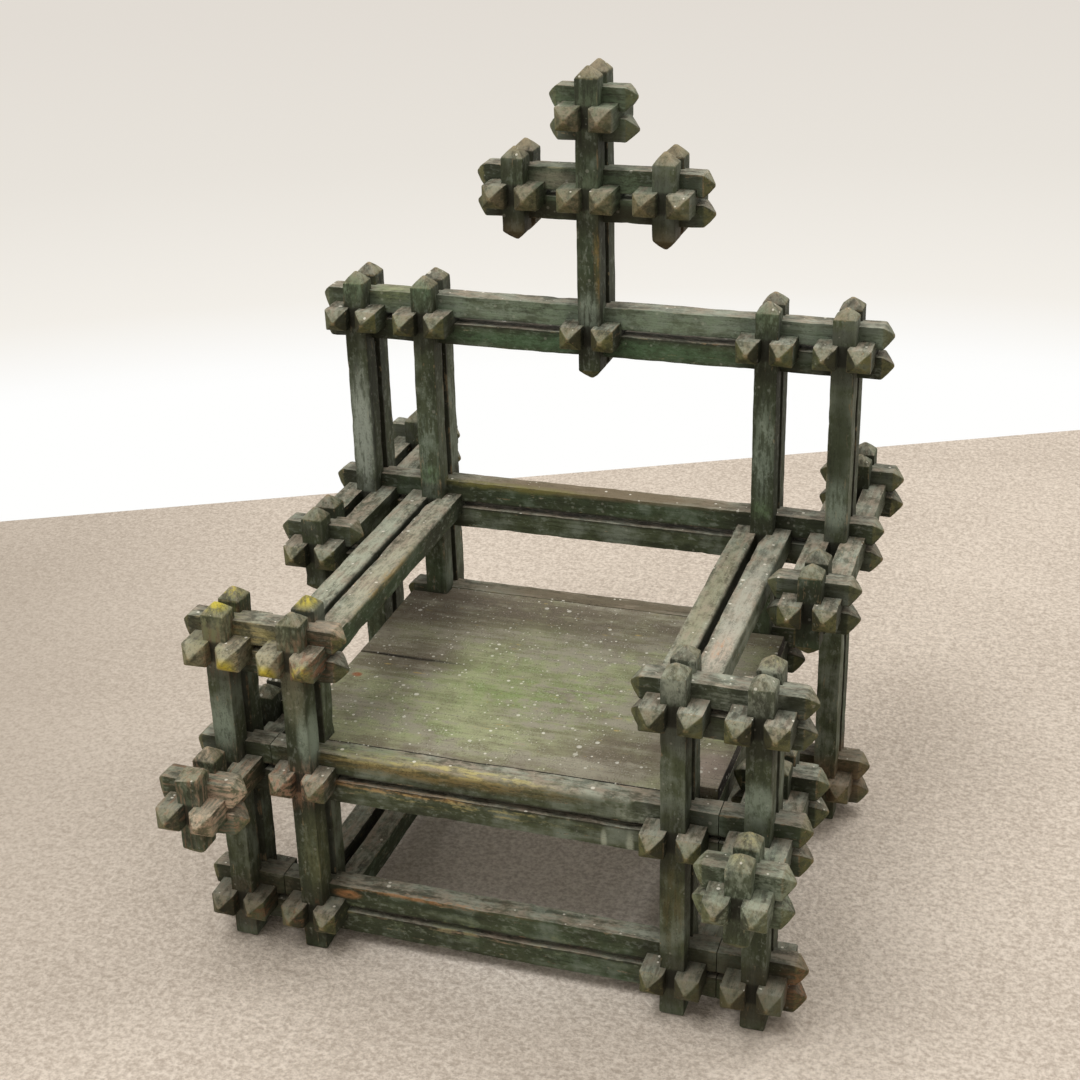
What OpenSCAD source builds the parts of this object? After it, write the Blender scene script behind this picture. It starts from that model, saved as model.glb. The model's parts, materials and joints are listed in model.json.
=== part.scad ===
// A child's armchair of square sticks that cross in six-stick joints, two along each direction.
// The front faces -Y, left and right are as seen from the front, and the feet stand on Z = 0.

/* [Sticks] */
// Width of every square stick
stick_w = 23.5; // [20:0.5:26]
// Gap between the two sticks of a pair that lies from left to right, one above the other
level_gap = 6.5; // [4:0.5:11]
// Gap between the two sticks of a pair from front to back, or of a pair of uprights
side_gap = 10.5; // [7:0.5:14]
// Height of the pyramid that ends a stick
pyramid_h = 11.5; // [6:0.5:12.5]
// Width of the small worn flat at the tip of a pyramid
tip_flat = 2; // [1:0.5:5]
// Straight length that a stick from left to right runs past the pair it crosses
across_past = 6.5; // [2:0.5:7.5]
// Straight length that a stick from front to back runs past the uprights it crosses
deep_past = 11; // [4:0.5:16]
// Straight length that an upright runs past the rails it crosses
upright_past = 10.5; // [4:0.5:16]

/* [Joints] */
// Clearance round a stick in the notch that holds it
notch_fit = 0.1; // [0.05:0.05:0.4]
// Gap where the ends of two rails butt
butt_gap = 0.2; // [0.1:0.1:1]

/* [Frame] */
// Clear width between the inner posts, which is the width to sit in
seat_clear_w = 341; // [260:1:420]
// Clear distance from an inner pair to the outer pair beside it
post_clear = 19; // [18:0.5:30]
// Clear depth between the front joints and the back joints
side_clear = 307; // [240:1:380]
// Clear height between the bottom rails and the seat rails
leg_clear = 98; // [60:1:160]
// Clear height between the seat rails and the arms
arm_clear = 77; // [50:1:140]
// Clear height between the arms and the top rail
back_clear = 157; // [100:1:260]

/* [Outriggers] */
// Clear distance from an outer front post to each of its two side burrs
seat_burr_clear = 22; // [10:0.5:40]
// Clear distance from an outer back post to each of its two side burrs
arm_burr_clear = 85; // [40:1:110]

/* [Crest] */
// Clear height between the top rail and the crossbar
crossbar_clear = 88; // [40:1:140]
// Clear height between the crossbar and the crown
crown_clear = 27; // [8:0.5:60]
// Clear distance from the centre pair to the short uprights of the crossbar
crossbar_side_clear = 20; // [8:0.5:60]

/* [Seat] */
// Clearance round the seat board
seat_fit = 0.4; // [0.2:0.1:1.5]
// Clearance between the side edges of the seat board and the tips of the rear burrs
seat_side_fit = 1; // [0.5:0.5:6]

/* [Feet and wear] */
// Length of the feet below the bottom rails
foot_len = 15; // [10:0.5:30]
// Height of the worn bevel round each foot
foot_bevel = 3; // [1:0.5:6]
// Radius of the worn front edge of the seat rail
edge_r = 8; // [3:0.5:10]
// Distance from a post to where the worn front edge starts
edge_start = 14; // [4:1:40]
// Height lost from the broken stick of the burr at the front left
broken_h = 10; // [2:0.5:14]

/* [Hidden] */

paint = "#2f3d36";
board = "#6f6f55";

// Half of what a pair takes up at a joint, and the distance between the middles of its two sticks
level_half = level_gap / 2 + stick_w;
side_half = side_gap / 2 + stick_w;
level_pitch = level_gap + stick_w;
side_pitch = side_gap + stick_w;

// Distance from the middle of a joint to the tip of a stick that ends beyond it
across_tip = side_half + across_past + pyramid_h;
deep_tip = side_half + deep_past + pyramid_h;
upright_tip = level_half + upright_past + pyramid_h;

// Middles of the joints, from the clear distances between them
inner_x = seat_clear_w / 2 + stick_w / 2;
outer_x = inner_x + 2 * side_half + post_clear;
seat_burr = 2 * side_half + seat_burr_clear;
arm_burr = 2 * side_half + arm_burr_clear;
side_run = 2 * side_half + side_clear;
depth = seat_burr + side_run + arm_burr + 2 * deep_tip;
front_y = -depth / 2 + deep_tip + seat_burr;
back_y = front_y + side_run;

bottom_z = level_half + foot_len;
seat_z = bottom_z + 2 * level_half + leg_clear;
arm_z = seat_z + 2 * level_half + arm_clear;
top_z = arm_z + 2 * level_half + back_clear;
crossbar_z = top_z + 2 * level_half + crossbar_clear;
crown_z = crossbar_z + 2 * level_half + crown_clear;
crossbar_x = 2 * side_half + crossbar_side_clear;

// Cutters run this far past the faces they cut
over = 1;

// Ends of a stick
POINT = 0;
FLAT = 1;
FOOT = 2;

function flip(points) = [for (i = [len(points) - 1:-1:0]) points[i]];

// Start of a stick's edge. Points are places along the stick and their distance from its middle line.
function end_edge(lo, kind) =
    kind == POINT ? [[lo, tip_flat / 2], [lo + pyramid_h, stick_w / 2]]
    : kind == FOOT ? [[lo, stick_w / 2 - foot_bevel], [lo + foot_bevel, stick_w / 2]]
    : [[lo, stick_w / 2]];

// Outline of a stick with its two ends
module stick_outline(lo, hi, lo_end, hi_end) {
    far = [for (p = end_edge(-hi, hi_end)) [-p[0], p[1]]];
    upper = concat(end_edge(lo, lo_end), flip(far));
    polygon(concat(upper, flip([for (p = upper) [p[0], -p[1]]])));
}

// Square stick along X
module stick(lo, hi, lo_end, hi_end) {
    intersection() {
        linear_extrude(height = stick_w, center = true) stick_outline(lo, hi, lo_end, hi_end);
        rotate([90, 0, 0]) linear_extrude(height = stick_w, center = true)
            stick_outline(lo, hi, lo_end, hi_end);
    }
}

// Box from one corner to the opposite one, given in any order
module block(a, b) {
    lo = [for (i = [0:2]) min(a[i], b[i])];
    hi = [for (i = [0:2]) max(a[i], b[i])];
    translate(lo) cube(hi - lo);
}

// Stick from left to right. It is notched over the two sticks of each pair it crosses, and its back
// is notched for the upright at the back of the joint, which is driven in last as the key.
module x_stick(lo, hi, y, z, side, crossings, lo_end, hi_end) {
    mid = z + side * level_pitch / 2;
    half = stick_w / 2 + notch_fit;
    difference() {
        translate([0, y, mid]) stick(lo, hi, lo_end, hi_end);
        for (x = crossings) {
            for (beside = [-1, 1]) {
                notch_x = x + beside * side_pitch / 2;
                block([notch_x - half, y - stick_w, z + side * (level_gap / 2 - over)],
                    [notch_x + half, y + stick_w, z + side * half]);
            }
            block([x - half, y + side_gap / 2 - notch_fit, mid - stick_w],
                [x + half, y + stick_w, mid + stick_w]);
        }
    }
}

// Stick from front to back. Its inner side is notched for both uprights of each pair it crosses.
module y_stick(lo, hi, x, z, side, crossings, lo_end, hi_end) {
    half = stick_w / 2 + notch_fit;
    difference() {
        translate([x + side * side_pitch / 2, 0, z]) rotate([90, 0, 90]) stick(lo, hi, lo_end, hi_end);
        for (y = crossings, beside = [-1, 1]) {
            notch_y = y + beside * side_pitch / 2;
            block([x + side * (side_gap / 2 - over), notch_y - half, z - stick_w],
                [x + side * half, notch_y + half, z + stick_w]);
        }
    }
}

// Upright stick. The front one of a pair is notched over the level sticks from left to right, and
// the back one is the plain key.
module z_stick(lo, hi, x, y, side, crossings, lo_end, hi_end) {
    half = stick_w / 2 + notch_fit;
    difference() {
        translate([x, y + side * side_pitch / 2, 0]) rotate([0, -90, -90]) stick(lo, hi, lo_end, hi_end);
        if (side < 0) for (z = crossings, beside = [-1, 1]) {
            notch_z = z + beside * level_pitch / 2;
            block([x - stick_w, y - side_gap / 2 + over, notch_z - half],
                [x + stick_w, y - half, notch_z + half]);
        }
    }
}

// Two sticks one above the other
module x_pair(lo, hi, y, z, crossings, lo_end = POINT, hi_end = POINT) {
    for (side = [-1, 1]) x_stick(lo, hi, y, z, side, crossings, lo_end, hi_end);
}

// Two sticks side by side
module y_pair(lo, hi, x, z, crossings, lo_end = POINT, hi_end = POINT) {
    for (side = [-1, 1]) y_stick(lo, hi, x, z, side, crossings, lo_end, hi_end);
}

// Two sticks one behind the other
module z_pair(lo, hi, x, y, crossings, lo_end = POINT, hi_end = POINT) {
    for (side = [-1, 1]) z_stick(lo, hi, x, y, side, crossings, lo_end, hi_end);
}

// Short pair through a single joint
module y_stub(x, y, z) {
    color(paint) y_pair(y - deep_tip, y + deep_tip, x, z, [y]);
}

// The four short sticks that make a side burr round the end of an outrigger
module burr(x, y, z, broken = 0) {
    color(paint) x_pair(x - across_tip, x + across_tip, y, z, [x]);
    color(paint) difference() {
        z_pair(z - upright_tip, z + upright_tip, x, y, [z]);
        if (broken > 0) block([x - stick_w, y - side_half - over, z + upright_tip - broken],
            [x + stick_w, y, z + upright_tip + over]);
    }
}

module front_post(x) {
    color(paint) z_pair(0, arm_z + upright_tip, x, front_y, [bottom_z, seat_z, arm_z], FOOT, POINT);
}

module back_outer_post(x) {
    color(paint) z_pair(0, top_z + upright_tip, x, back_y, [bottom_z, arm_z, top_z], FOOT, POINT);
}

module back_inner_post(x) {
    color(paint) z_pair(0, top_z + upright_tip, x, back_y, [bottom_z, seat_z, arm_z, top_z], FOOT, POINT);
}

module front_left_outer_post() { front_post(-outer_x); }
module front_left_inner_post() { front_post(-inner_x); }
module front_right_inner_post() { front_post(inner_x); }
module front_right_outer_post() { front_post(outer_x); }
module back_left_outer_post() { back_outer_post(-outer_x); }
module back_left_inner_post() { back_inner_post(-inner_x); }
module back_right_inner_post() { back_inner_post(inner_x); }
module back_right_outer_post() { back_outer_post(outer_x); }

// The front bottom rail is in three lengths that butt between the inner and the outer posts
butt_x = (inner_x + outer_x) / 2;

module front_bottom_rail() {
    color(paint) x_pair(-butt_x + butt_gap / 2, butt_x - butt_gap / 2, front_y, bottom_z,
        [-inner_x, inner_x], FLAT, FLAT);
}

module rail_end(side, z) {
    lo = butt_x + butt_gap / 2;
    hi = outer_x + across_tip;
    color(paint)
        if (side > 0) x_pair(lo, hi, front_y, z, [outer_x], FLAT, POINT);
        else x_pair(-hi, -lo, front_y, z, [-outer_x], POINT, FLAT);
}

module front_bottom_rail_end_left() { rail_end(-1, bottom_z); }
module front_bottom_rail_end_right() { rail_end(1, bottom_z); }

module full_x_pair(y, z) {
    columns = [-outer_x, -inner_x, inner_x, outer_x];
    color(paint) x_pair(-outer_x - across_tip, outer_x + across_tip, y, z, columns);
}

module back_bottom_rail() { full_x_pair(back_y, bottom_z); }
module back_arm_rail() { full_x_pair(back_y, arm_z); }

module side_pair(x, z) {
    color(paint) y_pair(front_y - deep_tip, back_y + deep_tip, x, z, [front_y, back_y]);
}

module bottom_side_rail_left() { side_pair(-inner_x, bottom_z); }
module bottom_side_rail_right() { side_pair(inner_x, bottom_z); }
module seat_side_rail_left() { side_pair(-inner_x, seat_z); }
module seat_side_rail_right() { side_pair(inner_x, seat_z); }
module arm_left() { side_pair(-inner_x, arm_z); }
module arm_right() { side_pair(inner_x, arm_z); }

module front_foot_stub_left() { y_stub(-outer_x, front_y, bottom_z); }
module front_foot_stub_right() { y_stub(outer_x, front_y, bottom_z); }
module back_foot_stub_left() { y_stub(-outer_x, back_y, bottom_z); }
module back_foot_stub_right() { y_stub(outer_x, back_y, bottom_z); }
module front_arm_stub_left() { y_stub(-outer_x, front_y, arm_z); }
module front_arm_stub_right() { y_stub(outer_x, front_y, arm_z); }

// The front edge that knees rub is worn round on the upper stick, between the two inner posts
module front_seat_rail() {
    top = seat_z + level_half;
    front = front_y - stick_w / 2;
    worn_x = inner_x - side_half - edge_start;
    color(paint) difference() {
        x_pair(-butt_x + butt_gap / 2, butt_x - butt_gap / 2, front_y, seat_z, [-inner_x, inner_x],
            FLAT, FLAT);
        difference() {
            block([-worn_x, front - over, top - edge_r], [worn_x, front + edge_r, top + over]);
            translate([0, front + edge_r, top - edge_r]) rotate([0, 90, 0])
                cylinder(h = 2 * worn_x + 2 * over, r = edge_r, center = true, $fn = 48);
        }
    }
}

module front_seat_rail_end_left() { rail_end(-1, seat_z); }
module front_seat_rail_end_right() { rail_end(1, seat_z); }

module back_seat_rail() {
    color(paint) x_pair(-inner_x - across_tip, inner_x + across_tip, back_y, seat_z,
        [-inner_x, inner_x]);
}

// Pair through a post that carries a burr at each of its ends
module outrigger(x, y, z, burr_run) {
    color(paint) y_pair(y - burr_run - deep_tip, y + burr_run + deep_tip, x, z,
        [y - burr_run, y, y + burr_run]);
}

module seat_outrigger_left() { outrigger(-outer_x, front_y, seat_z, seat_burr); }
module seat_outrigger_right() { outrigger(outer_x, front_y, seat_z, seat_burr); }
module arm_outrigger_left() { outrigger(-outer_x, back_y, arm_z, arm_burr); }
module arm_outrigger_right() { outrigger(outer_x, back_y, arm_z, arm_burr); }

module seat_front_burr_left() { burr(-outer_x, front_y - seat_burr, seat_z, broken_h); }
module seat_front_burr_right() { burr(outer_x, front_y - seat_burr, seat_z); }
module seat_rear_burr_left() { burr(-outer_x, front_y + seat_burr, seat_z); }
module seat_rear_burr_right() { burr(outer_x, front_y + seat_burr, seat_z); }
module arm_front_burr_left() { burr(-outer_x, back_y - arm_burr, arm_z); }
module arm_front_burr_right() { burr(outer_x, back_y - arm_burr, arm_z); }
module arm_rear_burr_left() { burr(-outer_x, back_y + arm_burr, arm_z); }
module arm_rear_burr_right() { burr(outer_x, back_y + arm_burr, arm_z); }

module front_arm_rail(side) {
    lo = inner_x - across_tip;
    hi = outer_x + across_tip;
    color(paint)
        if (side > 0) x_pair(lo, hi, front_y, arm_z, [inner_x, outer_x]);
        else x_pair(-hi, -lo, front_y, arm_z, [-outer_x, -inner_x]);
}

module front_arm_rail_left() { front_arm_rail(-1); }
module front_arm_rail_right() { front_arm_rail(1); }

// The board lies on the side rails, between the front and the back seat rails. Its corners are cut
// out round the inner posts, and its top is flush with the rails.
module seat_board() {
    half_w = min(inner_x + side_half, outer_x - across_tip - seat_side_fit);
    post_x = inner_x - stick_w / 2 - seat_fit;
    rail_gap = stick_w / 2 + seat_fit;
    post_gap = side_half + seat_fit;
    right = [[post_x, front_y + rail_gap], [post_x, front_y + post_gap], [half_w, front_y + post_gap],
        [half_w, back_y - post_gap], [post_x, back_y - post_gap], [post_x, back_y - rail_gap]];
    color(board) translate([0, 0, seat_z + stick_w / 2])
        linear_extrude(height = level_half - stick_w / 2)
            polygon(concat(right, flip([for (p = right) [-p[0], p[1]]])));
}

module top_rail() {
    columns = [-outer_x, -inner_x, 0, inner_x, outer_x];
    color(paint) x_pair(-outer_x - across_tip, outer_x + across_tip, back_y, top_z, columns);
}

module top_stub_outer_left() { y_stub(-outer_x, back_y, top_z); }
module top_stub_inner_left() { y_stub(-inner_x, back_y, top_z); }
module top_stub_centre() { y_stub(0, back_y, top_z); }
module top_stub_inner_right() { y_stub(inner_x, back_y, top_z); }
module top_stub_outer_right() { y_stub(outer_x, back_y, top_z); }

module finial_post() {
    color(paint) z_pair(top_z - upright_tip, crown_z + upright_tip, 0, back_y,
        [top_z, crossbar_z, crown_z]);
}

module crossbar() {
    columns = [-crossbar_x, 0, crossbar_x];
    color(paint) x_pair(-crossbar_x - across_tip, crossbar_x + across_tip, back_y, crossbar_z, columns);
}

module crossbar_stub_left() { y_stub(-crossbar_x, back_y, crossbar_z); }
module crossbar_stub_centre() { y_stub(0, back_y, crossbar_z); }
module crossbar_stub_right() { y_stub(crossbar_x, back_y, crossbar_z); }

module crossbar_upright(x) {
    color(paint) z_pair(crossbar_z - upright_tip, crossbar_z + upright_tip, x, back_y, [crossbar_z]);
}

module crossbar_upright_left() { crossbar_upright(-crossbar_x); }
module crossbar_upright_right() { crossbar_upright(crossbar_x); }

module crown_bar() {
    color(paint) x_pair(-across_tip, across_tip, back_y, crown_z, [0]);
}

module crown_stub() { y_stub(0, back_y, crown_z); }

front_left_outer_post();
front_left_inner_post();
front_right_inner_post();
front_right_outer_post();
back_left_outer_post();
back_left_inner_post();
back_right_inner_post();
back_right_outer_post();
front_bottom_rail();
front_bottom_rail_end_left();
front_bottom_rail_end_right();
back_bottom_rail();
bottom_side_rail_left();
bottom_side_rail_right();
front_foot_stub_left();
front_foot_stub_right();
back_foot_stub_left();
back_foot_stub_right();
front_seat_rail();
front_seat_rail_end_left();
front_seat_rail_end_right();
back_seat_rail();
seat_side_rail_left();
seat_side_rail_right();
seat_outrigger_left();
seat_outrigger_right();
seat_front_burr_left();
seat_front_burr_right();
seat_rear_burr_left();
seat_rear_burr_right();
seat_board();
front_arm_rail_left();
front_arm_rail_right();
arm_left();
arm_right();
front_arm_stub_left();
front_arm_stub_right();
back_arm_rail();
arm_outrigger_left();
arm_outrigger_right();
arm_front_burr_left();
arm_front_burr_right();
arm_rear_burr_left();
arm_rear_burr_right();
top_rail();
top_stub_outer_left();
top_stub_inner_left();
top_stub_centre();
top_stub_inner_right();
top_stub_outer_right();
finial_post();
crossbar();
crossbar_stub_left();
crossbar_stub_centre();
crossbar_stub_right();
crossbar_upright_left();
crossbar_upright_right();
crown_bar();
crown_stub();
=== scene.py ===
"""Dresses a child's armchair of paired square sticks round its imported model.

Each stick is made as on a bench. A square blank is cut to length, pointed or footed at its ends,
rubbed along its edges, chipped a little and notched where others cross it. The sticks of a pair, or
of a side burr, make one piece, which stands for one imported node.
"""
import json
import logging
import math
import random
from collections.abc import Callable, Iterable
from dataclasses import dataclass, replace
from enum import Enum

import bmesh
import bpy
import numpy as np
from mathutils import Euler, Matrix, Vector

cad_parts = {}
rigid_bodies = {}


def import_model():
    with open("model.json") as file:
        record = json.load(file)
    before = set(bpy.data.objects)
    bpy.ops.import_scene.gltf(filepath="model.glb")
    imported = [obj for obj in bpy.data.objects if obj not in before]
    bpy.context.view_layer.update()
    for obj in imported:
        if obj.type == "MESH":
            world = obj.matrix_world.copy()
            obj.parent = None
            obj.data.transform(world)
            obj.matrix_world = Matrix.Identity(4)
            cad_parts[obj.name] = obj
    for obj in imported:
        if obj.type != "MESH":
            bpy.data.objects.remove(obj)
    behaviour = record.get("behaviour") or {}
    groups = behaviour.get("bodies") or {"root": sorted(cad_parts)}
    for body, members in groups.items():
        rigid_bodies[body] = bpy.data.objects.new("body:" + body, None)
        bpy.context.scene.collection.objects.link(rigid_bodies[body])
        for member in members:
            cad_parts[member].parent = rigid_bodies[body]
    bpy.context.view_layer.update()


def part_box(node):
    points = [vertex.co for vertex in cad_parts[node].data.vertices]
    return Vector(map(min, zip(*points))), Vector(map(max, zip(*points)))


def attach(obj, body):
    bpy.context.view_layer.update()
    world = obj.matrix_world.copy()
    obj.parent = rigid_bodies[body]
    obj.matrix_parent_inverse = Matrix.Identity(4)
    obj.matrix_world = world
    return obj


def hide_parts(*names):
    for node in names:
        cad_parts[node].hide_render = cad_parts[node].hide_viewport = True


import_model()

LOG = logging.getLogger("armchair")
MM = 0.001


class End(Enum):
    """How a stick ends."""

    POINT = "blunt four-sided pyramid"
    FLAT = "sawn square, for a butt seam"
    FOOT = "foot, worn at its rim"


class Way(Enum):
    """Direction that a stick runs, as the turn that takes a stick laid along X to it."""

    ACROSS = ((1, 0, 0), (0, 1, 0), (0, 0, 1))
    DEEP = ((0, 0, 1), (1, 0, 0), (0, 1, 0))
    UPRIGHT = ((0, 1, 0), (0, 0, 1), (1, 0, 0))

    def turn(self) -> Matrix:
        """Returns the turn as a matrix."""
        return Matrix(self.value).to_4x4()


@dataclass(frozen=True)
class Stock:
    """Sizes that every stick shares, in metres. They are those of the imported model."""

    width: float = 23.5 * MM
    level_gap: float = 6.5 * MM
    side_gap: float = 10.5 * MM
    point: float = 11.5 * MM
    tip: float = 2.8 * MM
    tip_worn: float = 0.4 * MM
    across_past: float = 6.5 * MM
    deep_past: float = 11 * MM
    upright_past: float = 10.5 * MM
    fit: float = 0.1 * MM
    foot: float = 15 * MM
    foot_bevel: float = 3 * MM
    rubbed_edge: float = 1.1 * MM
    knee_start: float = 14 * MM
    ring_step: float = 6 * MM

    def gap(self, way: Way) -> float:
        """Gap between the two sticks of a pair that runs this way."""
        return self.level_gap if way is Way.ACROSS else self.side_gap

    def pitch(self, way: Way) -> float:
        """Distance between the middles of the two sticks of a pair that runs this way."""
        return self.gap(way) + self.width

    def crossed(self, way: Way) -> Way:
        """Way of the pair that a stick's inner notches hold."""
        return {Way.ACROSS: Way.DEEP, Way.DEEP: Way.UPRIGHT, Way.UPRIGHT: Way.ACROSS}[way]

    @property
    def level_half(self) -> float:
        """Half of the height that a pair from left to right takes up."""
        return self.level_gap / 2 + self.width

    @property
    def side_half(self) -> float:
        """Half of the width that a pair from front to back, or of uprights, takes up."""
        return self.side_gap / 2 + self.width

    def half(self, way: Way) -> float:
        """Half of the joint's length, along a stick that runs this way."""
        return self.level_half if way is Way.UPRIGHT else self.side_half

    def reach(self, way: Way) -> float:
        """How far a stick's tip is from the middle of its last joint."""
        past = {Way.ACROSS: self.across_past, Way.DEEP: self.deep_past,
                Way.UPRIGHT: self.upright_past}[way]
        return self.half(way) + past + self.point


STOCK = Stock()


@dataclass(frozen=True)
class Wear:
    """How worn a stick is. Lengths are in millimetres, and ranges are what chance draws from."""

    chip_spacing: float = 26
    chip_reach: tuple[float, float] = (4, 13)
    chip_share: tuple[float, float] = (0.3, 1.0)
    chip_depth: float = 0.8
    rim_start: float = 0.8
    rim_fade: float = 0.12
    tip_loss: float = 1.3
    tip_shift: float = 1.1
    # How far past a joint its darkening, grime and painted shade, fades out.
    joint_fade: float = 18


WEAR = Wear()


@dataclass(frozen=True)
class Lattice:
    """Middles of the joints, in metres, worked out from the clear distances between them."""

    seat_clear: float = 341 * MM
    post_clear: float = 19 * MM
    side_clear: float = 307 * MM
    leg_clear: float = 98 * MM
    arm_clear: float = 77 * MM
    back_clear: float = 157 * MM
    seat_burr_clear: float = 22 * MM
    arm_burr_clear: float = 85 * MM
    crossbar_clear: float = 88 * MM
    crown_clear: float = 27 * MM
    crossbar_side_clear: float = 20 * MM

    @property
    def inner_x(self) -> float:
        """Middle of an inner post."""
        return self.seat_clear / 2 + STOCK.width / 2

    @property
    def outer_x(self) -> float:
        """Middle of an outer post."""
        return self.inner_x + 2 * STOCK.side_half + self.post_clear

    @property
    def butt_x(self) -> float:
        """Seam where the front rails butt."""
        return (self.inner_x + self.outer_x) / 2

    @property
    def crossbar_x(self) -> float:
        """Middle of a short upright on the crossbar."""
        return 2 * STOCK.side_half + self.crossbar_side_clear

    @property
    def seat_burr(self) -> float:
        """Run from an outer front post to each of its burrs."""
        return 2 * STOCK.side_half + self.seat_burr_clear

    @property
    def arm_burr(self) -> float:
        """Run from an outer back post to each of its burrs."""
        return 2 * STOCK.side_half + self.arm_burr_clear

    @property
    def front_y(self) -> float:
        """Middle of the front joints."""
        reach = STOCK.reach(Way.DEEP)
        side_run = 2 * STOCK.side_half + self.side_clear
        depth = self.seat_burr + side_run + self.arm_burr + 2 * reach
        return -depth / 2 + reach + self.seat_burr

    @property
    def back_y(self) -> float:
        """Middle of the back joints."""
        return self.front_y + 2 * STOCK.side_half + self.side_clear

    @property
    def bottom_z(self) -> float:
        """Middle of the bottom joints."""
        return STOCK.level_half + STOCK.foot

    @property
    def seat_z(self) -> float:
        """Middle of the seat joints."""
        return self.bottom_z + 2 * STOCK.level_half + self.leg_clear

    @property
    def arm_z(self) -> float:
        """Middle of the arm joints."""
        return self.seat_z + 2 * STOCK.level_half + self.arm_clear

    @property
    def top_z(self) -> float:
        """Middle of the top rail's joints."""
        return self.arm_z + 2 * STOCK.level_half + self.back_clear

    @property
    def crossbar_z(self) -> float:
        """Middle of the crossbar's joints."""
        return self.top_z + 2 * STOCK.level_half + self.crossbar_clear

    @property
    def crown_z(self) -> float:
        """Middle of the crown's joint."""
        return self.crossbar_z + 2 * STOCK.level_half + self.crown_clear


GRID = Lattice()


def deselect() -> None:
    """Leaves nothing selected, so that an operator acts only on what is chosen after it."""
    if bpy.context.mode != "OBJECT":
        bpy.ops.object.mode_set(mode="OBJECT")
    for obj in bpy.context.view_layer.objects:
        obj.select_set(False)


def pick(*objects: bpy.types.Object) -> None:
    """Selects these objects alone and makes the last one active."""
    deselect()
    for obj in objects:
        obj.select_set(True)
    bpy.context.view_layer.objects.active = objects[-1]


def block(low: Iterable[float], high: Iterable[float], name: str = "block") -> bpy.types.Object:
    """Adds a box between two corners.

    Args:
        low: One corner.
        high: The opposite corner, in any order.
        name: Name of the new object.

    Returns:
        The box, at the origin with its place in its mesh.
    """
    low, high = list(low), list(high)
    centre = [(a + b) / 2 for a, b in zip(low, high)]
    size = [abs(b - a) for a, b in zip(low, high)]
    deselect()
    bpy.ops.mesh.primitive_cube_add(size=1, location=centre)
    obj = bpy.context.object
    obj.name = name
    obj.scale = size
    bpy.ops.object.transform_apply(location=True, rotation=False, scale=True)
    return obj


def join(objects: list[bpy.types.Object], name: str) -> bpy.types.Object:
    """Joins objects into one mesh.

    Args:
        objects: What is joined. They are used up.
        name: Name of the result.

    Returns:
        The joined object.
    """
    pick(*objects)
    if len(objects) > 1:
        bpy.ops.object.join()
    obj = bpy.context.object
    obj.name = name
    obj.data.name = name
    return obj


def apply_modifier(obj: bpy.types.Object, kind: str, **settings: object) -> None:
    """Adds a modifier to a mesh and applies it.

    Args:
        obj: The mesh object.
        kind: Blender's name of the modifier.
        settings: The modifier's own settings.
    """
    modifier = obj.modifiers.new(kind.lower(), kind)
    for key, value in settings.items():
        setattr(modifier, key, value)
    pick(obj)
    bpy.ops.object.modifier_apply(modifier=modifier.name)


def cut_away(obj: bpy.types.Object, cutters: list[bpy.types.Object]) -> None:
    """Cuts boxes out of a mesh.

    Args:
        obj: What is cut.
        cutters: The boxes, which are used up.
    """
    if not cutters:
        return
    cutter = join(cutters, "cutter")
    apply_modifier(obj, "BOOLEAN", operation="DIFFERENCE", object=cutter, solver="EXACT",
                   use_self=True)
    mesh = cutter.data
    bpy.data.objects.remove(cutter)
    bpy.data.meshes.remove(mesh)


def choose(obj: bpy.types.Object, kind: str, test: Callable[..., bool]) -> int:
    """Selects the vertices, edges or faces of the mesh being edited that pass a test.

    Args:
        obj: The object in edit mode.
        kind: "verts", "edges" or "faces".
        test: Takes one of them and says whether it is chosen.

    Returns:
        How many were chosen.
    """
    bpy.ops.mesh.select_all(action="DESELECT")
    bpy.context.tool_settings.mesh_select_mode = (kind == "verts", kind == "edges", kind == "faces")
    mesh = bmesh.from_edit_mesh(obj.data)
    found = [part for part in getattr(mesh, kind) if test(part)]
    for part in found:
        part.select_set(True)
    mesh.select_flush_mode()
    bmesh.update_edit_mesh(obj.data)
    return len(found)


@dataclass(frozen=True)
class StickPlan:
    """What one stick is, laid along X with its middle line on the axis.

    Its outer face is +Z for side 1 and -Z for side -1. The inner face looks at the pair's other
    stick.
    """

    way: Way
    lo: float
    hi: float
    crossings: tuple[float, ...]
    side: int = 1
    lo_end: End = End.POINT
    hi_end: End = End.POINT
    notched: bool = True
    keyed: bool = False
    knee_worn: float = 0.0
    knee_side: int = -1
    knee_edge: float = 8 * MM
    thicker: float = 0.0
    snapped: float = 0.0

    def from_first(self) -> tuple["StickPlan", float]:
        """Returns the plan with its first joint at 0, and how far it was moved for that."""
        first = self.crossings[0]

        def near(value: float) -> float:
            """Returns a place as measured from the first joint, to a thousandth of a millimetre."""
            return round(value - first, 6)

        places = tuple(near(c) for c in self.crossings)
        return replace(self, lo=near(self.lo), hi=near(self.hi), crossings=places), first


@dataclass(frozen=True)
class Section:
    """Half-widths of a stick along its length, with one entry for each ring."""

    x: list[float]
    half: list[float]


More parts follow.
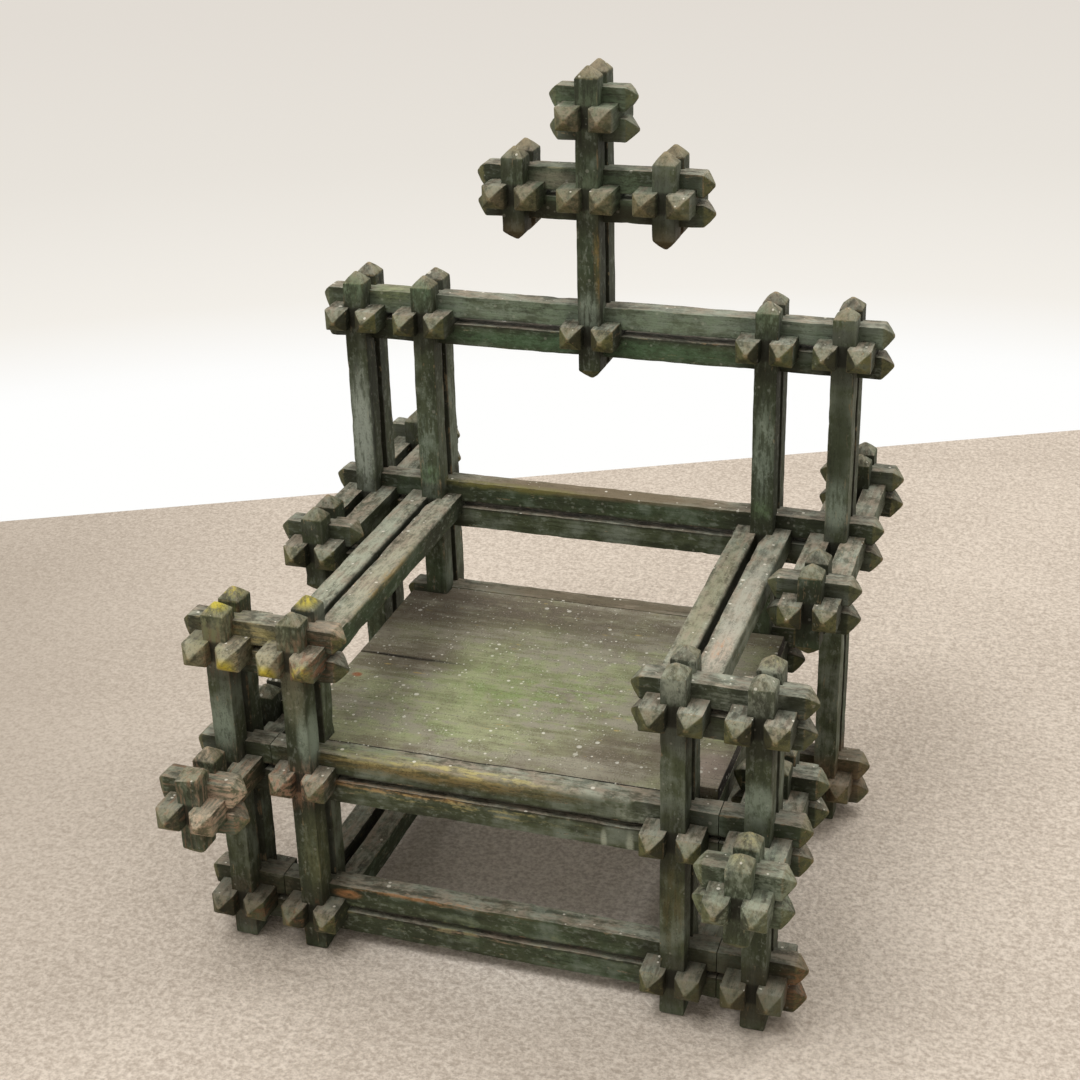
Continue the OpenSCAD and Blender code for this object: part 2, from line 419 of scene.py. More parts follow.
class Bench:
    """Makes sticks from plans. Each shape is modelled once, and then copied for every place."""

    SEED = 41
    SHARP = math.radians(24)  # edges sharper than this are rubbed
    EDGE_SEGMENTS, KNEE_SEGMENTS, THICKEN_STEPS = 2, 6, 3
    BULGE = 0.3 * MM  # swelling of a pyramid's faces
    FOOT_ROUND = ((0.0, 0.8), (0.4, 0.25), (1.0, 0.0))  # in from the end and off the face
    SAME_PLACE = 0.02 * MM
    BREAK_TILT = Euler((0.0, math.radians(9), math.radians(-7)))

    def __init__(self, stock: Stock) -> None:
        """Args: stock: The sizes that every stick shares."""
        self.stock = stock
        self.made: dict[StickPlan, bpy.types.Object] = {}
        self.luck = random.Random(self.SEED)

    def end_rings(self, kind: End, at: float, way: int) -> list[tuple[float, float]]:
        """Lays out the rings of one end.

        Args:
            kind: The kind of end.
            at: Where the stick ends.
            way: 1 at the high end and -1 at the low one.

        Returns:
            Place and half-width of each ring, from the end inwards.
        """
        stock = self.stock
        full = stock.width / 2
        if kind is End.POINT:
            return [(at - way * stock.tip_worn, stock.tip / 2),
                    (at - way * stock.point / 2, (full + stock.tip / 2) / 2 + self.BULGE),
                    (at - way * stock.point, full)]
        if kind is End.FOOT:
            bevel = stock.foot_bevel
            return [(at - way * bevel * inward, full - bevel * off)
                    for inward, off in self.FOOT_ROUND]
        return [(at, full)]

    def carve(self, plan: StickPlan) -> bpy.types.Object:
        """Models a stick from a square blank.

        Args:
            plan: The stick, with its first joint at 0.

        Returns:
            The finished stick, laid along X.
        """
        full = self.stock.width / 2
        low = self.end_rings(plan.lo_end, plan.lo, -1)
        high = self.end_rings(plan.hi_end, plan.hi, 1)[::-1]
        section = Section([x for x, _ in low + high], [h for _, h in low + high])
        stick = block((low[0][0], -full, -full), (high[-1][0], full, full), "stick")
        pick(stick)
        bpy.ops.object.mode_set(mode="EDIT")
        for x in section.x[1:-1]:
            bpy.ops.mesh.select_all(action="SELECT")
            bpy.ops.mesh.bisect(plane_co=(x, 0, 0), plane_no=(1, 0, 0))
        start, stop = low[-1][0], high[0][0]

        def straight(edge: bmesh.types.BMEdge) -> bool:
            """Returns whether an edge runs along the whole straight part."""
            ends = [v.co.x for v in edge.verts]
            return abs(ends[0] - ends[1]) > 0.9 * (stop - start)

        if choose(stick, "edges", straight):
            cuts = math.ceil((stop - start) / self.stock.ring_step) - 1
            bpy.ops.mesh.subdivide(number_cuts=max(1, cuts))
        for x, half in zip(section.x, section.half):
            if half < full * 0.9999:
                choose(stick, "verts", lambda v, x=x: abs(v.co.x - x) < self.SAME_PLACE)
                share = half / full
                bpy.ops.transform.resize(value=(1, share, share), center_override=(x, 0, 0))
        if plan.thicker:
            self.thicken(stick, plan)
        if plan.knee_worn:
            self.rub_knee_edge(stick, plan)
        choose(stick, "edges", lambda e: False)
        bpy.ops.mesh.edges_select_sharp(sharpness=self.SHARP)
        bpy.ops.mesh.bevel(offset=self.stock.rubbed_edge, segments=self.EDGE_SEGMENTS,
                           affect="EDGES", clamp_overlap=True)
        bpy.ops.object.mode_set(mode="OBJECT")
        cut_away(stick, self.notches(plan))
        self.mark(stick, plan, section)
        return stick

    def rub_knee_edge(self, stick: bpy.types.Object, plan: StickPlan) -> None:
        """Rounds the most worn long edge of a stick between its first and last joint.

        Args:
            stick: The stick, in edit mode.
            plan: Its plan, whose knee_worn says how far from a joint the wear starts.
        """
        first, last = plan.crossings[0] + plan.knee_worn, plan.crossings[-1] - plan.knee_worn

        def worn(edge: bmesh.types.BMEdge) -> bool:
            """Returns whether an edge lies on the upper worn corner, between the joints."""
            ends = [v.co for v in edge.verts]
            return all(first - MM < c.x < last + MM and c.y * plan.knee_side > 0 and c.z > 0
                       for c in ends)

        def along(edge: bmesh.types.BMEdge) -> bool:
            """Returns whether an edge of that corner runs along the stick."""
            a, b = (v.co for v in edge.verts)
            return worn(edge) and abs(a.x - b.x) > abs(a.y - b.y) + abs(a.z - b.z)

        choose(stick, "edges", along)
        bpy.ops.mesh.bevel(offset=plan.knee_edge, segments=self.KNEE_SEGMENTS, affect="EDGES",
                           clamp_overlap=False)

    def thicken(self, stick: bpy.types.Object, plan: StickPlan) -> None:
        """Brings the inner face of a stick nearer to its pair between the joints.

        Args:
            stick: The stick, in edit mode.
            plan: Its plan, whose thicker says by how much.
        """
        step = (0, 0, -plan.side * plan.thicker / self.THICKEN_STEPS)
        for i in range(self.THICKEN_STEPS):
            clear = self.stock.half(plan.way) + (i + 1) * self.stock.ring_step
            first, last = plan.crossings[0] + clear, plan.crossings[-1] - clear
            choose(stick, "verts",
                   lambda v, a=first, b=last: a < v.co.x < b and v.co.z * plan.side < 0)
            bpy.ops.transform.translate(value=step)

    def notches(self, plan: StickPlan) -> list[bpy.types.Object]:
        """Makes the blocks that a stick's notches are cut with.

        Args:
            plan: The stick.

        Returns:
            One block for each notch.
        """
        stock, side, width = self.stock, plan.side, self.stock.width
        over = MM
        half = width / 2 + stock.fit
        beside = stock.pitch(stock.crossed(plan.way)) / 2
        shoulder = side * (width / 2 + stock.fit - stock.pitch(plan.way) / 2)
        mouth = -side * (width / 2 + over)
        out = []
        if plan.notched:
            for joint in plan.crossings:
                for x in (joint - beside, joint + beside):
                    out.append(block((x - half, -width, mouth), (x + half, width, shoulder)))
        if plan.keyed:
            for joint in plan.crossings:
                out.append(block((joint - half, stock.side_gap / 2 - stock.fit, -width),
                                 (joint + half, width, width)))
        if plan.snapped:
            out.append(self.snap_block(plan))
        return out

    def snap_block(self, plan: StickPlan) -> bpy.types.Object:
        """Makes the tilted block that takes off a broken stick's end.

        Args:
            plan: The stick, whose snapped says how much is lost at its high end.

        Returns:
            The block.
        """
        width = self.stock.width
        tool = block((0, -width, -width), (3 * width, width, width), "snap")
        tool.rotation_euler = self.BREAK_TILT
        tool.location = (plan.hi - plan.snapped, 0, 0)
        pick(tool)
        bpy.ops.object.transform_apply(location=True, rotation=True, scale=False)
        return tool

    def mark(self, stick: bpy.types.Object, plan: StickPlan, section: Section) -> None:
        """Writes where each point is on its stick, for the paint to read.

        "section" holds how far it is across the two ways, from -1 to 1, the second outwards from
        the pair, and how far up a pyramid, from 0 at its base to 1 at its tip. "grain" is its place
        along and across the stick. "wear" has room for chips, and says whether the stick is upright
        and how near a joint the point is.

        Args:
            stick: The finished stick, laid along X.
            plan: Its plan.
            section: Its half-widths along its length.
        """
        mesh, stock = stick.data, self.stock
        co = self.places(mesh)
        half = np.interp(co[:, 0], section.x, section.half)
        u, v = co[:, 1] / half, plan.side * co[:, 2] / half
        up = np.full(len(co), -1.0)
        for kind, at, way in ((plan.lo_end, plan.lo, -1), (plan.hi_end, plan.hi, 1)):
            if kind is End.POINT:
                up = np.maximum(up, 1 - way * (at - co[:, 0]) / stock.point)
        far = np.min([np.abs(co[:, 0] - c) for c in plan.crossings], axis=0)
        near = np.clip(1 - (far - stock.half(plan.way)) / (WEAR.joint_fade * MM), 0, 1)
        none = np.zeros(len(co))
        self.write(mesh, "section", np.stack([np.clip(u, -1, 1), np.clip(v, -1, 1), up], 1))
        self.write(mesh, "grain", co)
        upright = none + float(plan.way is Way.UPRIGHT)
        self.write(mesh, "wear", np.stack([none, upright, near], 1))

    @staticmethod
    def places(mesh: bpy.types.Mesh) -> np.ndarray:
        """Returns where the mesh's points are, one row for each."""
        co = np.zeros(len(mesh.vertices) * 3)
        mesh.vertices.foreach_get("co", co)
        return co.reshape(-1, 3)

    @staticmethod
    def read(mesh: bpy.types.Mesh, name: str) -> np.ndarray:
        """Returns the vectors stored under a name, one row for each point."""
        values = np.zeros(len(mesh.vertices) * 3, np.float32)
        mesh.attributes[name].data.foreach_get("vector", values)
        return values.reshape(-1, 3)

    @staticmethod
    def write(mesh: bpy.types.Mesh, name: str, values: np.ndarray) -> None:
        """Stores one vector for each vertex under a name."""
        layer = mesh.attributes.get(name) or mesh.attributes.new(name, "FLOAT_VECTOR", "POINT")
        layer.data.foreach_set("vector", values.astype(np.float32).ravel())

    def stick(self, plan: StickPlan, place: tuple[float, float, float]) -> bpy.types.Object:
        """Makes or copies a stick and puts it in its place.

        Args:
            plan: The stick, with its ends and joints along its own direction.
            place: Where the line of its middle passes, with 0 along its own direction.

        Returns:
            The stick at the origin, with its place in its mesh.
        """
        base, shift = plan.from_first()
        if base not in self.made:
            master = self.carve(base)
            bpy.context.scene.collection.objects.unlink(master)
            self.made[base] = master
        copy = self.made[base].copy()
        copy.data = copy.data.copy()
        bpy.context.scene.collection.objects.link(copy)
        mesh = copy.data
        self.wear(mesh)
        chance = [self.luck.random(), self.luck.random()]
        self.write(mesh, "stick", np.tile((*chance, 0.0), (len(mesh.vertices), 1)))
        self.write(mesh, "grain", self.read(mesh, "grain") + (3 * chance[0], chance[1], chance[0]))
        turn = plan.way.turn()
        mesh.transform(Matrix.Translation(place) @ turn @ Matrix.Translation((shift, 0, 0)))
        return copy

    def wear(self, mesh: bpy.types.Mesh) -> None:
        """Chips the long edges of a stick here and there, and sets its tips a little askew.

        Args:
            mesh: The stick's mesh, laid along X. Its "wear" gets how deep each chip is.
        """
        co, section, wear = self.places(mesh), self.read(mesh, "section"), self.read(mesh, "wear")
        u, v, up = section.T
        x = co[:, 0]
        low, high = float(x.min()), float(x.max())
        for _ in range(round((high - low) / (WEAR.chip_spacing * MM))):
            at, reach = self.luck.uniform(low, high), self.luck.uniform(*WEAR.chip_reach) * MM
            depth = self.luck.uniform(*WEAR.chip_share) ** 2 * WEAR.chip_depth * MM
            corner = self.luck.choice((-1, 1)), self.luck.choice((-1, 1))
            near = np.clip(1 - np.abs(x - at) / reach, 0, 1)
            inward = np.minimum(u * corner[0], v * corner[1]) - WEAR.rim_start
            edge = np.clip(inward / WEAR.rim_fade, 0, 1)
            chip = near * edge * (up < 0.05)
            co[:, 1:] -= np.sign(co[:, 1:]) * (depth * chip)[:, None]
            wear[:, 0] = np.maximum(wear[:, 0], chip)
        for way in (-1, 1):
            rise = np.clip(up, 0, 1) * (x * way > (low + high) / 2 * way)
            co[:, 0] -= way * rise * self.luck.uniform(0.0, WEAR.tip_loss) * MM
            for axis in (1, 2):
                co[:, axis] += rise * self.luck.uniform(-WEAR.tip_shift, WEAR.tip_shift) * MM
        mesh.vertices.foreach_set("co", co.ravel())
        self.write(mesh, "wear", wear)

    def across(self, y: float, z: float, plan: StickPlan) -> list[bpy.types.Object]:
        """Returns a pair of sticks from left to right, one above the other."""
        step = self.stock.pitch(Way.ACROSS) / 2
        return [self.stick(replace(plan, side=side, keyed=True,
                                   knee_worn=plan.knee_worn if side > 0 else 0.0),
                           (0, y, z + side * step)) for side in (-1, 1)]

    def deep(self, x: float, z: float, plan: StickPlan) -> list[bpy.types.Object]:
        """Returns a pair of sticks from front to back, side by side."""
        step = self.stock.pitch(Way.DEEP) / 2
        return [self.stick(replace(plan, side=side, thicker=plan.thicker if side > 0 else 0.0),
                           (x + side * step, 0, z)) for side in (-1, 1)]

    def upright(self, x: float, y: float, plan: StickPlan) -> list[bpy.types.Object]:
        """Returns a pair of upright sticks, one behind the other. The back one is the key."""
        step = self.stock.pitch(Way.UPRIGHT) / 2
        return [self.stick(replace(plan, side=side, notched=side < 0,
                                   snapped=plan.snapped if side < 0 else 0.0),
                           (x, y + side * step, 0)) for side in (-1, 1)]

    def plan(self, way: Way, *joints: float) -> StickPlan:
        """Returns the plan of a stick that is pointed just past its first and last joint."""
        reach = self.stock.reach(way)
        return StickPlan(way, joints[0] - reach, joints[-1] + reach, joints)

    def stub(self, x: float, y: float, z: float) -> list[bpy.types.Object]:
        """Returns the short pair from front to back through one joint."""
        return self.deep(x, z, self.plan(Way.DEEP, y))


class Sock:
    """A value in a material: a node's output, or a number. Operators on it add Math nodes."""

    def __init__(self, graph: "Graph", link: bpy.types.NodeSocket | float) -> None:
        """Args: graph: The material it is in. link: The output or number it stands for."""
        self.graph = graph
        self.link = link

    def math(self, operation: str, *others: "Sock | float") -> "Sock":
        """Returns the result of a Math node on this value and others."""
        values = {i: value for i, value in enumerate((self, *others))}
        return self.graph.node("ShaderNodeMath", {"operation": operation}, values)

    def __add__(self, other: "Sock | float") -> "Sock":
        """Returns the sum."""
        return self.math("ADD", other)

    __radd__ = __add__

    def __mul__(self, other: "Sock | float") -> "Sock":
        """Returns the product."""
        return self.math("MULTIPLY", other)

    __rmul__ = __mul__

    def __sub__(self, other: "Sock | float") -> "Sock":
        """Returns this less the other."""
        return self.math("SUBTRACT", other)

    def __rsub__(self, other: "Sock | float") -> "Sock":
        """Returns the other less this."""
        return Sock(self.graph, other).math("SUBTRACT", self)

    def __truediv__(self, other: "Sock | float") -> "Sock":
        """Returns this over the other."""
        return self.math("DIVIDE", other)

    def __rtruediv__(self, other: "Sock | float") -> "Sock":
        """Returns the other over this."""
        return Sock(self.graph, other).math("DIVIDE", self)

    def __neg__(self) -> "Sock":
        """Returns this with its sign turned."""
        return self.math("MULTIPLY", -1.0)

    def __abs__(self) -> "Sock":
        """Returns this without its sign."""
        return self.math("ABSOLUTE")

    def least(self, other: "Sock | float") -> "Sock":
        """Returns the smaller of the two."""
        return self.math("MINIMUM", other)

    def most(self, other: "Sock | float") -> "Sock":
        """Returns the larger of the two."""
        return self.math("MAXIMUM", other)

    def rise(self, low: float, high: float) -> "Sock":
        """Returns 0 below low and 1 above high, with a smooth rise between."""
        settings = {"interpolation_type": "SMOOTHSTEP"}
        values = {"Value": self, "From Min": low, "From Max": high}
        return self.graph.node("ShaderNodeMapRange", settings, values)


Triple = tuple[float, float, float]
Colour = Triple
SHEEN = 0.3  # mirror-like part of the light that old paint gives back


def shade(red: int, green: int, blue: int) -> Colour:
    """Returns a colour given as on a screen, from 0 to 255, in the renderer's own linear scale."""
    def linear(value: int) -> float:
        """Returns one part of the colour in the linear scale."""
        part = value / 255
        return part / 12.92 if part <= 0.04045 else ((part + 0.055) / 1.055) ** 2.4

    return linear(red), linear(green), linear(blue)


class Graph:
    """The nodes of one material, or of the world."""

    def __init__(self, owner: bpy.types.Material | bpy.types.World) -> None:
        """Args: owner: What the nodes belong to. Nodes that it has already are cleared."""
        self.owner = owner
        owner.use_nodes = True
        self.tree = owner.node_tree
        self.tree.nodes.clear()

    def node(self, kind: str, settings: dict[str, object] | None = None,
             values: dict[str | int, object] | None = None, output: str | int = 0) -> Sock:
        """Adds a node.

        Args:
            kind: Blender's name of the node's type.
            settings: Its own settings, set first. "stops" are a ramp's places and colours.
            values: Numbers, colours or links for its inputs, by name or by number.
            output: Which of its outputs is given back.

        Returns:
            That output.
        """
        made = self.tree.nodes.new(kind)
        for key, value in (settings or {}).items():
            if key == "stops":
                ramp = made.color_ramp
                while len(ramp.elements) < len(value):
                    ramp.elements.new(1.0)
                for element, (place, colour) in zip(ramp.elements, value):
                    element.position, element.color = place, (*colour, 1.0)
            else:
                setattr(made, key, value)
        for key, value in (values or {}).items():
            socket = made.inputs[key]
            if isinstance(value, Sock) and not isinstance(value.link, (int, float)):
                self.tree.links.new(value.link, socket)
                continue
            plain = value.link if isinstance(value, Sock) else value
            if isinstance(plain, tuple) and len(plain) == 3 and socket.type == "RGBA":
                plain = (*plain, 1.0)
            socket.default_value = plain
        return Sock(self, made.outputs[output] if made.outputs else 0.0)

    def attribute(self, name: str) -> Sock:
        """Returns a stored vector of the mesh."""
        return self.node("ShaderNodeAttribute", {"attribute_name": name}, output="Vector")

    def place(self) -> Sock:
        """Returns the place in the row frame, which is each piece's own frame too."""
        return self.node("ShaderNodeTexCoord", output="Object")

    def facing(self) -> Sock:
        """Returns how far the surface looks up, from -1 to 1."""
        return self.split(self.node("ShaderNodeTexCoord", output="Normal"))[2]

    def split(self, vector: Sock) -> tuple[Sock, Sock, Sock]:
        """Returns the three parts of a vector."""
        first = self.node("ShaderNodeSeparateXYZ", None, {0: vector})
        outputs = first.link.node.outputs
        return tuple(Sock(self, outputs[i]) for i in range(3))

    def stretch(self, vector: Sock, scale: tuple[float, float, float]) -> Sock:
        """Returns a vector with its three parts multiplied."""
        return self.node("ShaderNodeVectorMath", {"operation": "MULTIPLY"}, {0: vector, 1: scale})

    def mottle(self, vector: Sock, scale: float, detail: float = 3.0,
               roughness: float = 0.55) -> Sock:
        """Returns smooth noise round 0.5."""
        return self.node("ShaderNodeTexNoise", None,
                         {"Vector": vector, "Scale": scale, "Detail": detail,
                          "Roughness": roughness})

    def flow(self, vector: Sock, along: float, across: float, detail: float = 3.0,
             roughness: float = 0.55) -> Sock:
        """Returns noise round 0.5 that has its own scale along the grain and across it."""
        return self.mottle(self.stretch(vector, (along, across, across)), 1, detail, roughness)

    def specks(self, vector: Sock, scale: float, chance: float, size: float) -> Sock:
        """Returns small round specks.

        Args:
            vector: Where the pattern is.
            scale: Cells to the metre.
            chance: Share of the cells that have a speck.
            size: Radius of a speck, as a share of a cell.

        Returns:
            1 on a speck and 0 off it.
        """
        values = {"Vector": vector, "Scale": scale}
        near = self.node("ShaderNodeTexVoronoi", None, values)
        cell = self.node("ShaderNodeTexVoronoi", None, values, "Color")
        lot, width, _ = self.split(cell)
        present = (1.0 - (lot / chance).least(1.0)).rise(0.0, 0.05)
        return (1.0 - (near / (size * (0.35 + width))).rise(0.7, 1.0)) * present

    def mix(self, share: Sock | float, base: Sock | Colour, top: Sock | Colour) -> Sock:
        """Returns a colour between two others."""
        return self.node("ShaderNodeMix", {"data_type": "RGBA"}, {0: share, 6: base, 7: top}, 2)

    def spot(self, place: Sock, centre: Triple, reach: Triple) -> Sock:
        """Returns 1 in the middle of a rounded patch and 0 outside it.

        Args:
            place: Where the surface is.
            centre: Middle of the patch.
            reach: How far it reaches each way.
        """
        away = self.node("ShaderNodeVectorMath", {"operation": "SUBTRACT"}, {0: place, 1: centre})
        away = self.stretch(away, tuple(1 / part for part in reach))
        far = self.node("ShaderNodeVectorMath", {"operation": "LENGTH"}, {0: away}, "Value")
        return 1.0 - far.rise(0.3, 1.0)

    def bump(self, height: Sock, distance: float, strength: float) -> Sock:
        """Returns the normal of a surface that this height raises."""
        return self.node("ShaderNodeBump", None,
                         {"Height": height, "Distance": distance, "Strength": strength})

    def finish(self, **values: object) -> bpy.types.Material:
        """Feeds the surface shader and ends the material.

        Args:
            values: Inputs of the surface shader, with _ for a space in their names.

        Returns:
            The material.
        """
        inputs = {key.replace("_", " "): value for key, value in values.items()}
        shader = self.node("ShaderNodeBsdfPrincipled", None, inputs)
        self.node("ShaderNodeOutputMaterial", None, {0: shader})
        return self.owner


@dataclass(frozen=True)
class Stain:
    """A patch of paint colour or painted shade, in strokes along the stick or in blots."""

    centre: Triple
    reach: Triple
    colour: Colour
    strength: float
    cover: float
    strokes: bool

    def low(self) -> float:
        """Returns the level of the noise above which the stain shows."""
        return 0.74 - 0.45 * self.cover

    def even(self) -> float:
        """Returns the share of the stain that shows even where the noise is low."""
        return max(0.0, 2 * self.cover - 1)


def dab(x: float, y: float, z: float, reach: Triple, screen: tuple[int, int, int],
        strength: float, cover: float, strokes: bool = False) -> Stain:
    """Returns a stain in blots.

    Args:
        x: Middle of the stain, in millimetres.
        y: Middle of the stain, in millimetres.
        z: Middle of the stain, in millimetres.
        reach: How far it reaches each way, in millimetres.
        screen: Its colour as on a screen, from 0 to 255.
        strength: How much of the paint's colour it hides where it shows.
        cover: How few breaks it has, from 0 to 1.
        strokes: Whether its breaks run along the stick.
    """
    centre = (x * MM, y * MM, z * MM)
    return Stain(centre, tuple(part * MM for part in reach), shade(*screen), strength, cover,
                 strokes)


def brush(*values: object) -> Stain:
    """Returns a stain in strokes along the stick. It takes the same values as dab."""
    return dab(*values, strokes=True)


# Middles of the joints in millimetres, for the stains. TIP is the front end of an arm, BURR the
# middle of a front burr, and WING that of a short upright on the crossbar.
OUTER, INNER, WING = GRID.outer_x / MM, GRID.inner_x / MM, GRID.crossbar_x / MM
FRONT, BACK, BURR = GRID.front_y / MM, GRID.back_y / MM, (GRID.front_y - GRID.seat_burr) / MM
TIP = (GRID.front_y - STOCK.reach(Way.DEEP)) / MM
LOW, SEAT, ARM = GRID.bottom_z / MM, GRID.seat_z / MM, GRID.arm_z / MM
CREST, CROSS, CROWN = GRID.top_z / MM, GRID.crossbar_z / MM, GRID.crown_z / MM
# Steps from the middle of a joint: to the middle of a stick beside it, to the tip of an upright, to
# the face of a single stick, and to the faces of a level pair and of a pair of posts.
SIDE, HIGH = STOCK.pitch(Way.DEEP) / 2 / MM, STOCK.reach(Way.UPRIGHT) / MM
FACE, EDGE, POST = STOCK.width / 2 / MM, STOCK.level_half / MM, STOCK.side_half / MM

# Colours that come back, as on a screen.
LICHEN, MOSS, LEAF = (196, 180, 54), (108, 118, 68), (104, 122, 94)
PALE, MILK, STRAW = (132, 144, 128), (160, 166, 148), (184, 172, 112)
OCHRE, CHIP, PINK, RED = (128, 110, 66), (172, 122, 78), (178, 150, 124), (132, 84, 60)

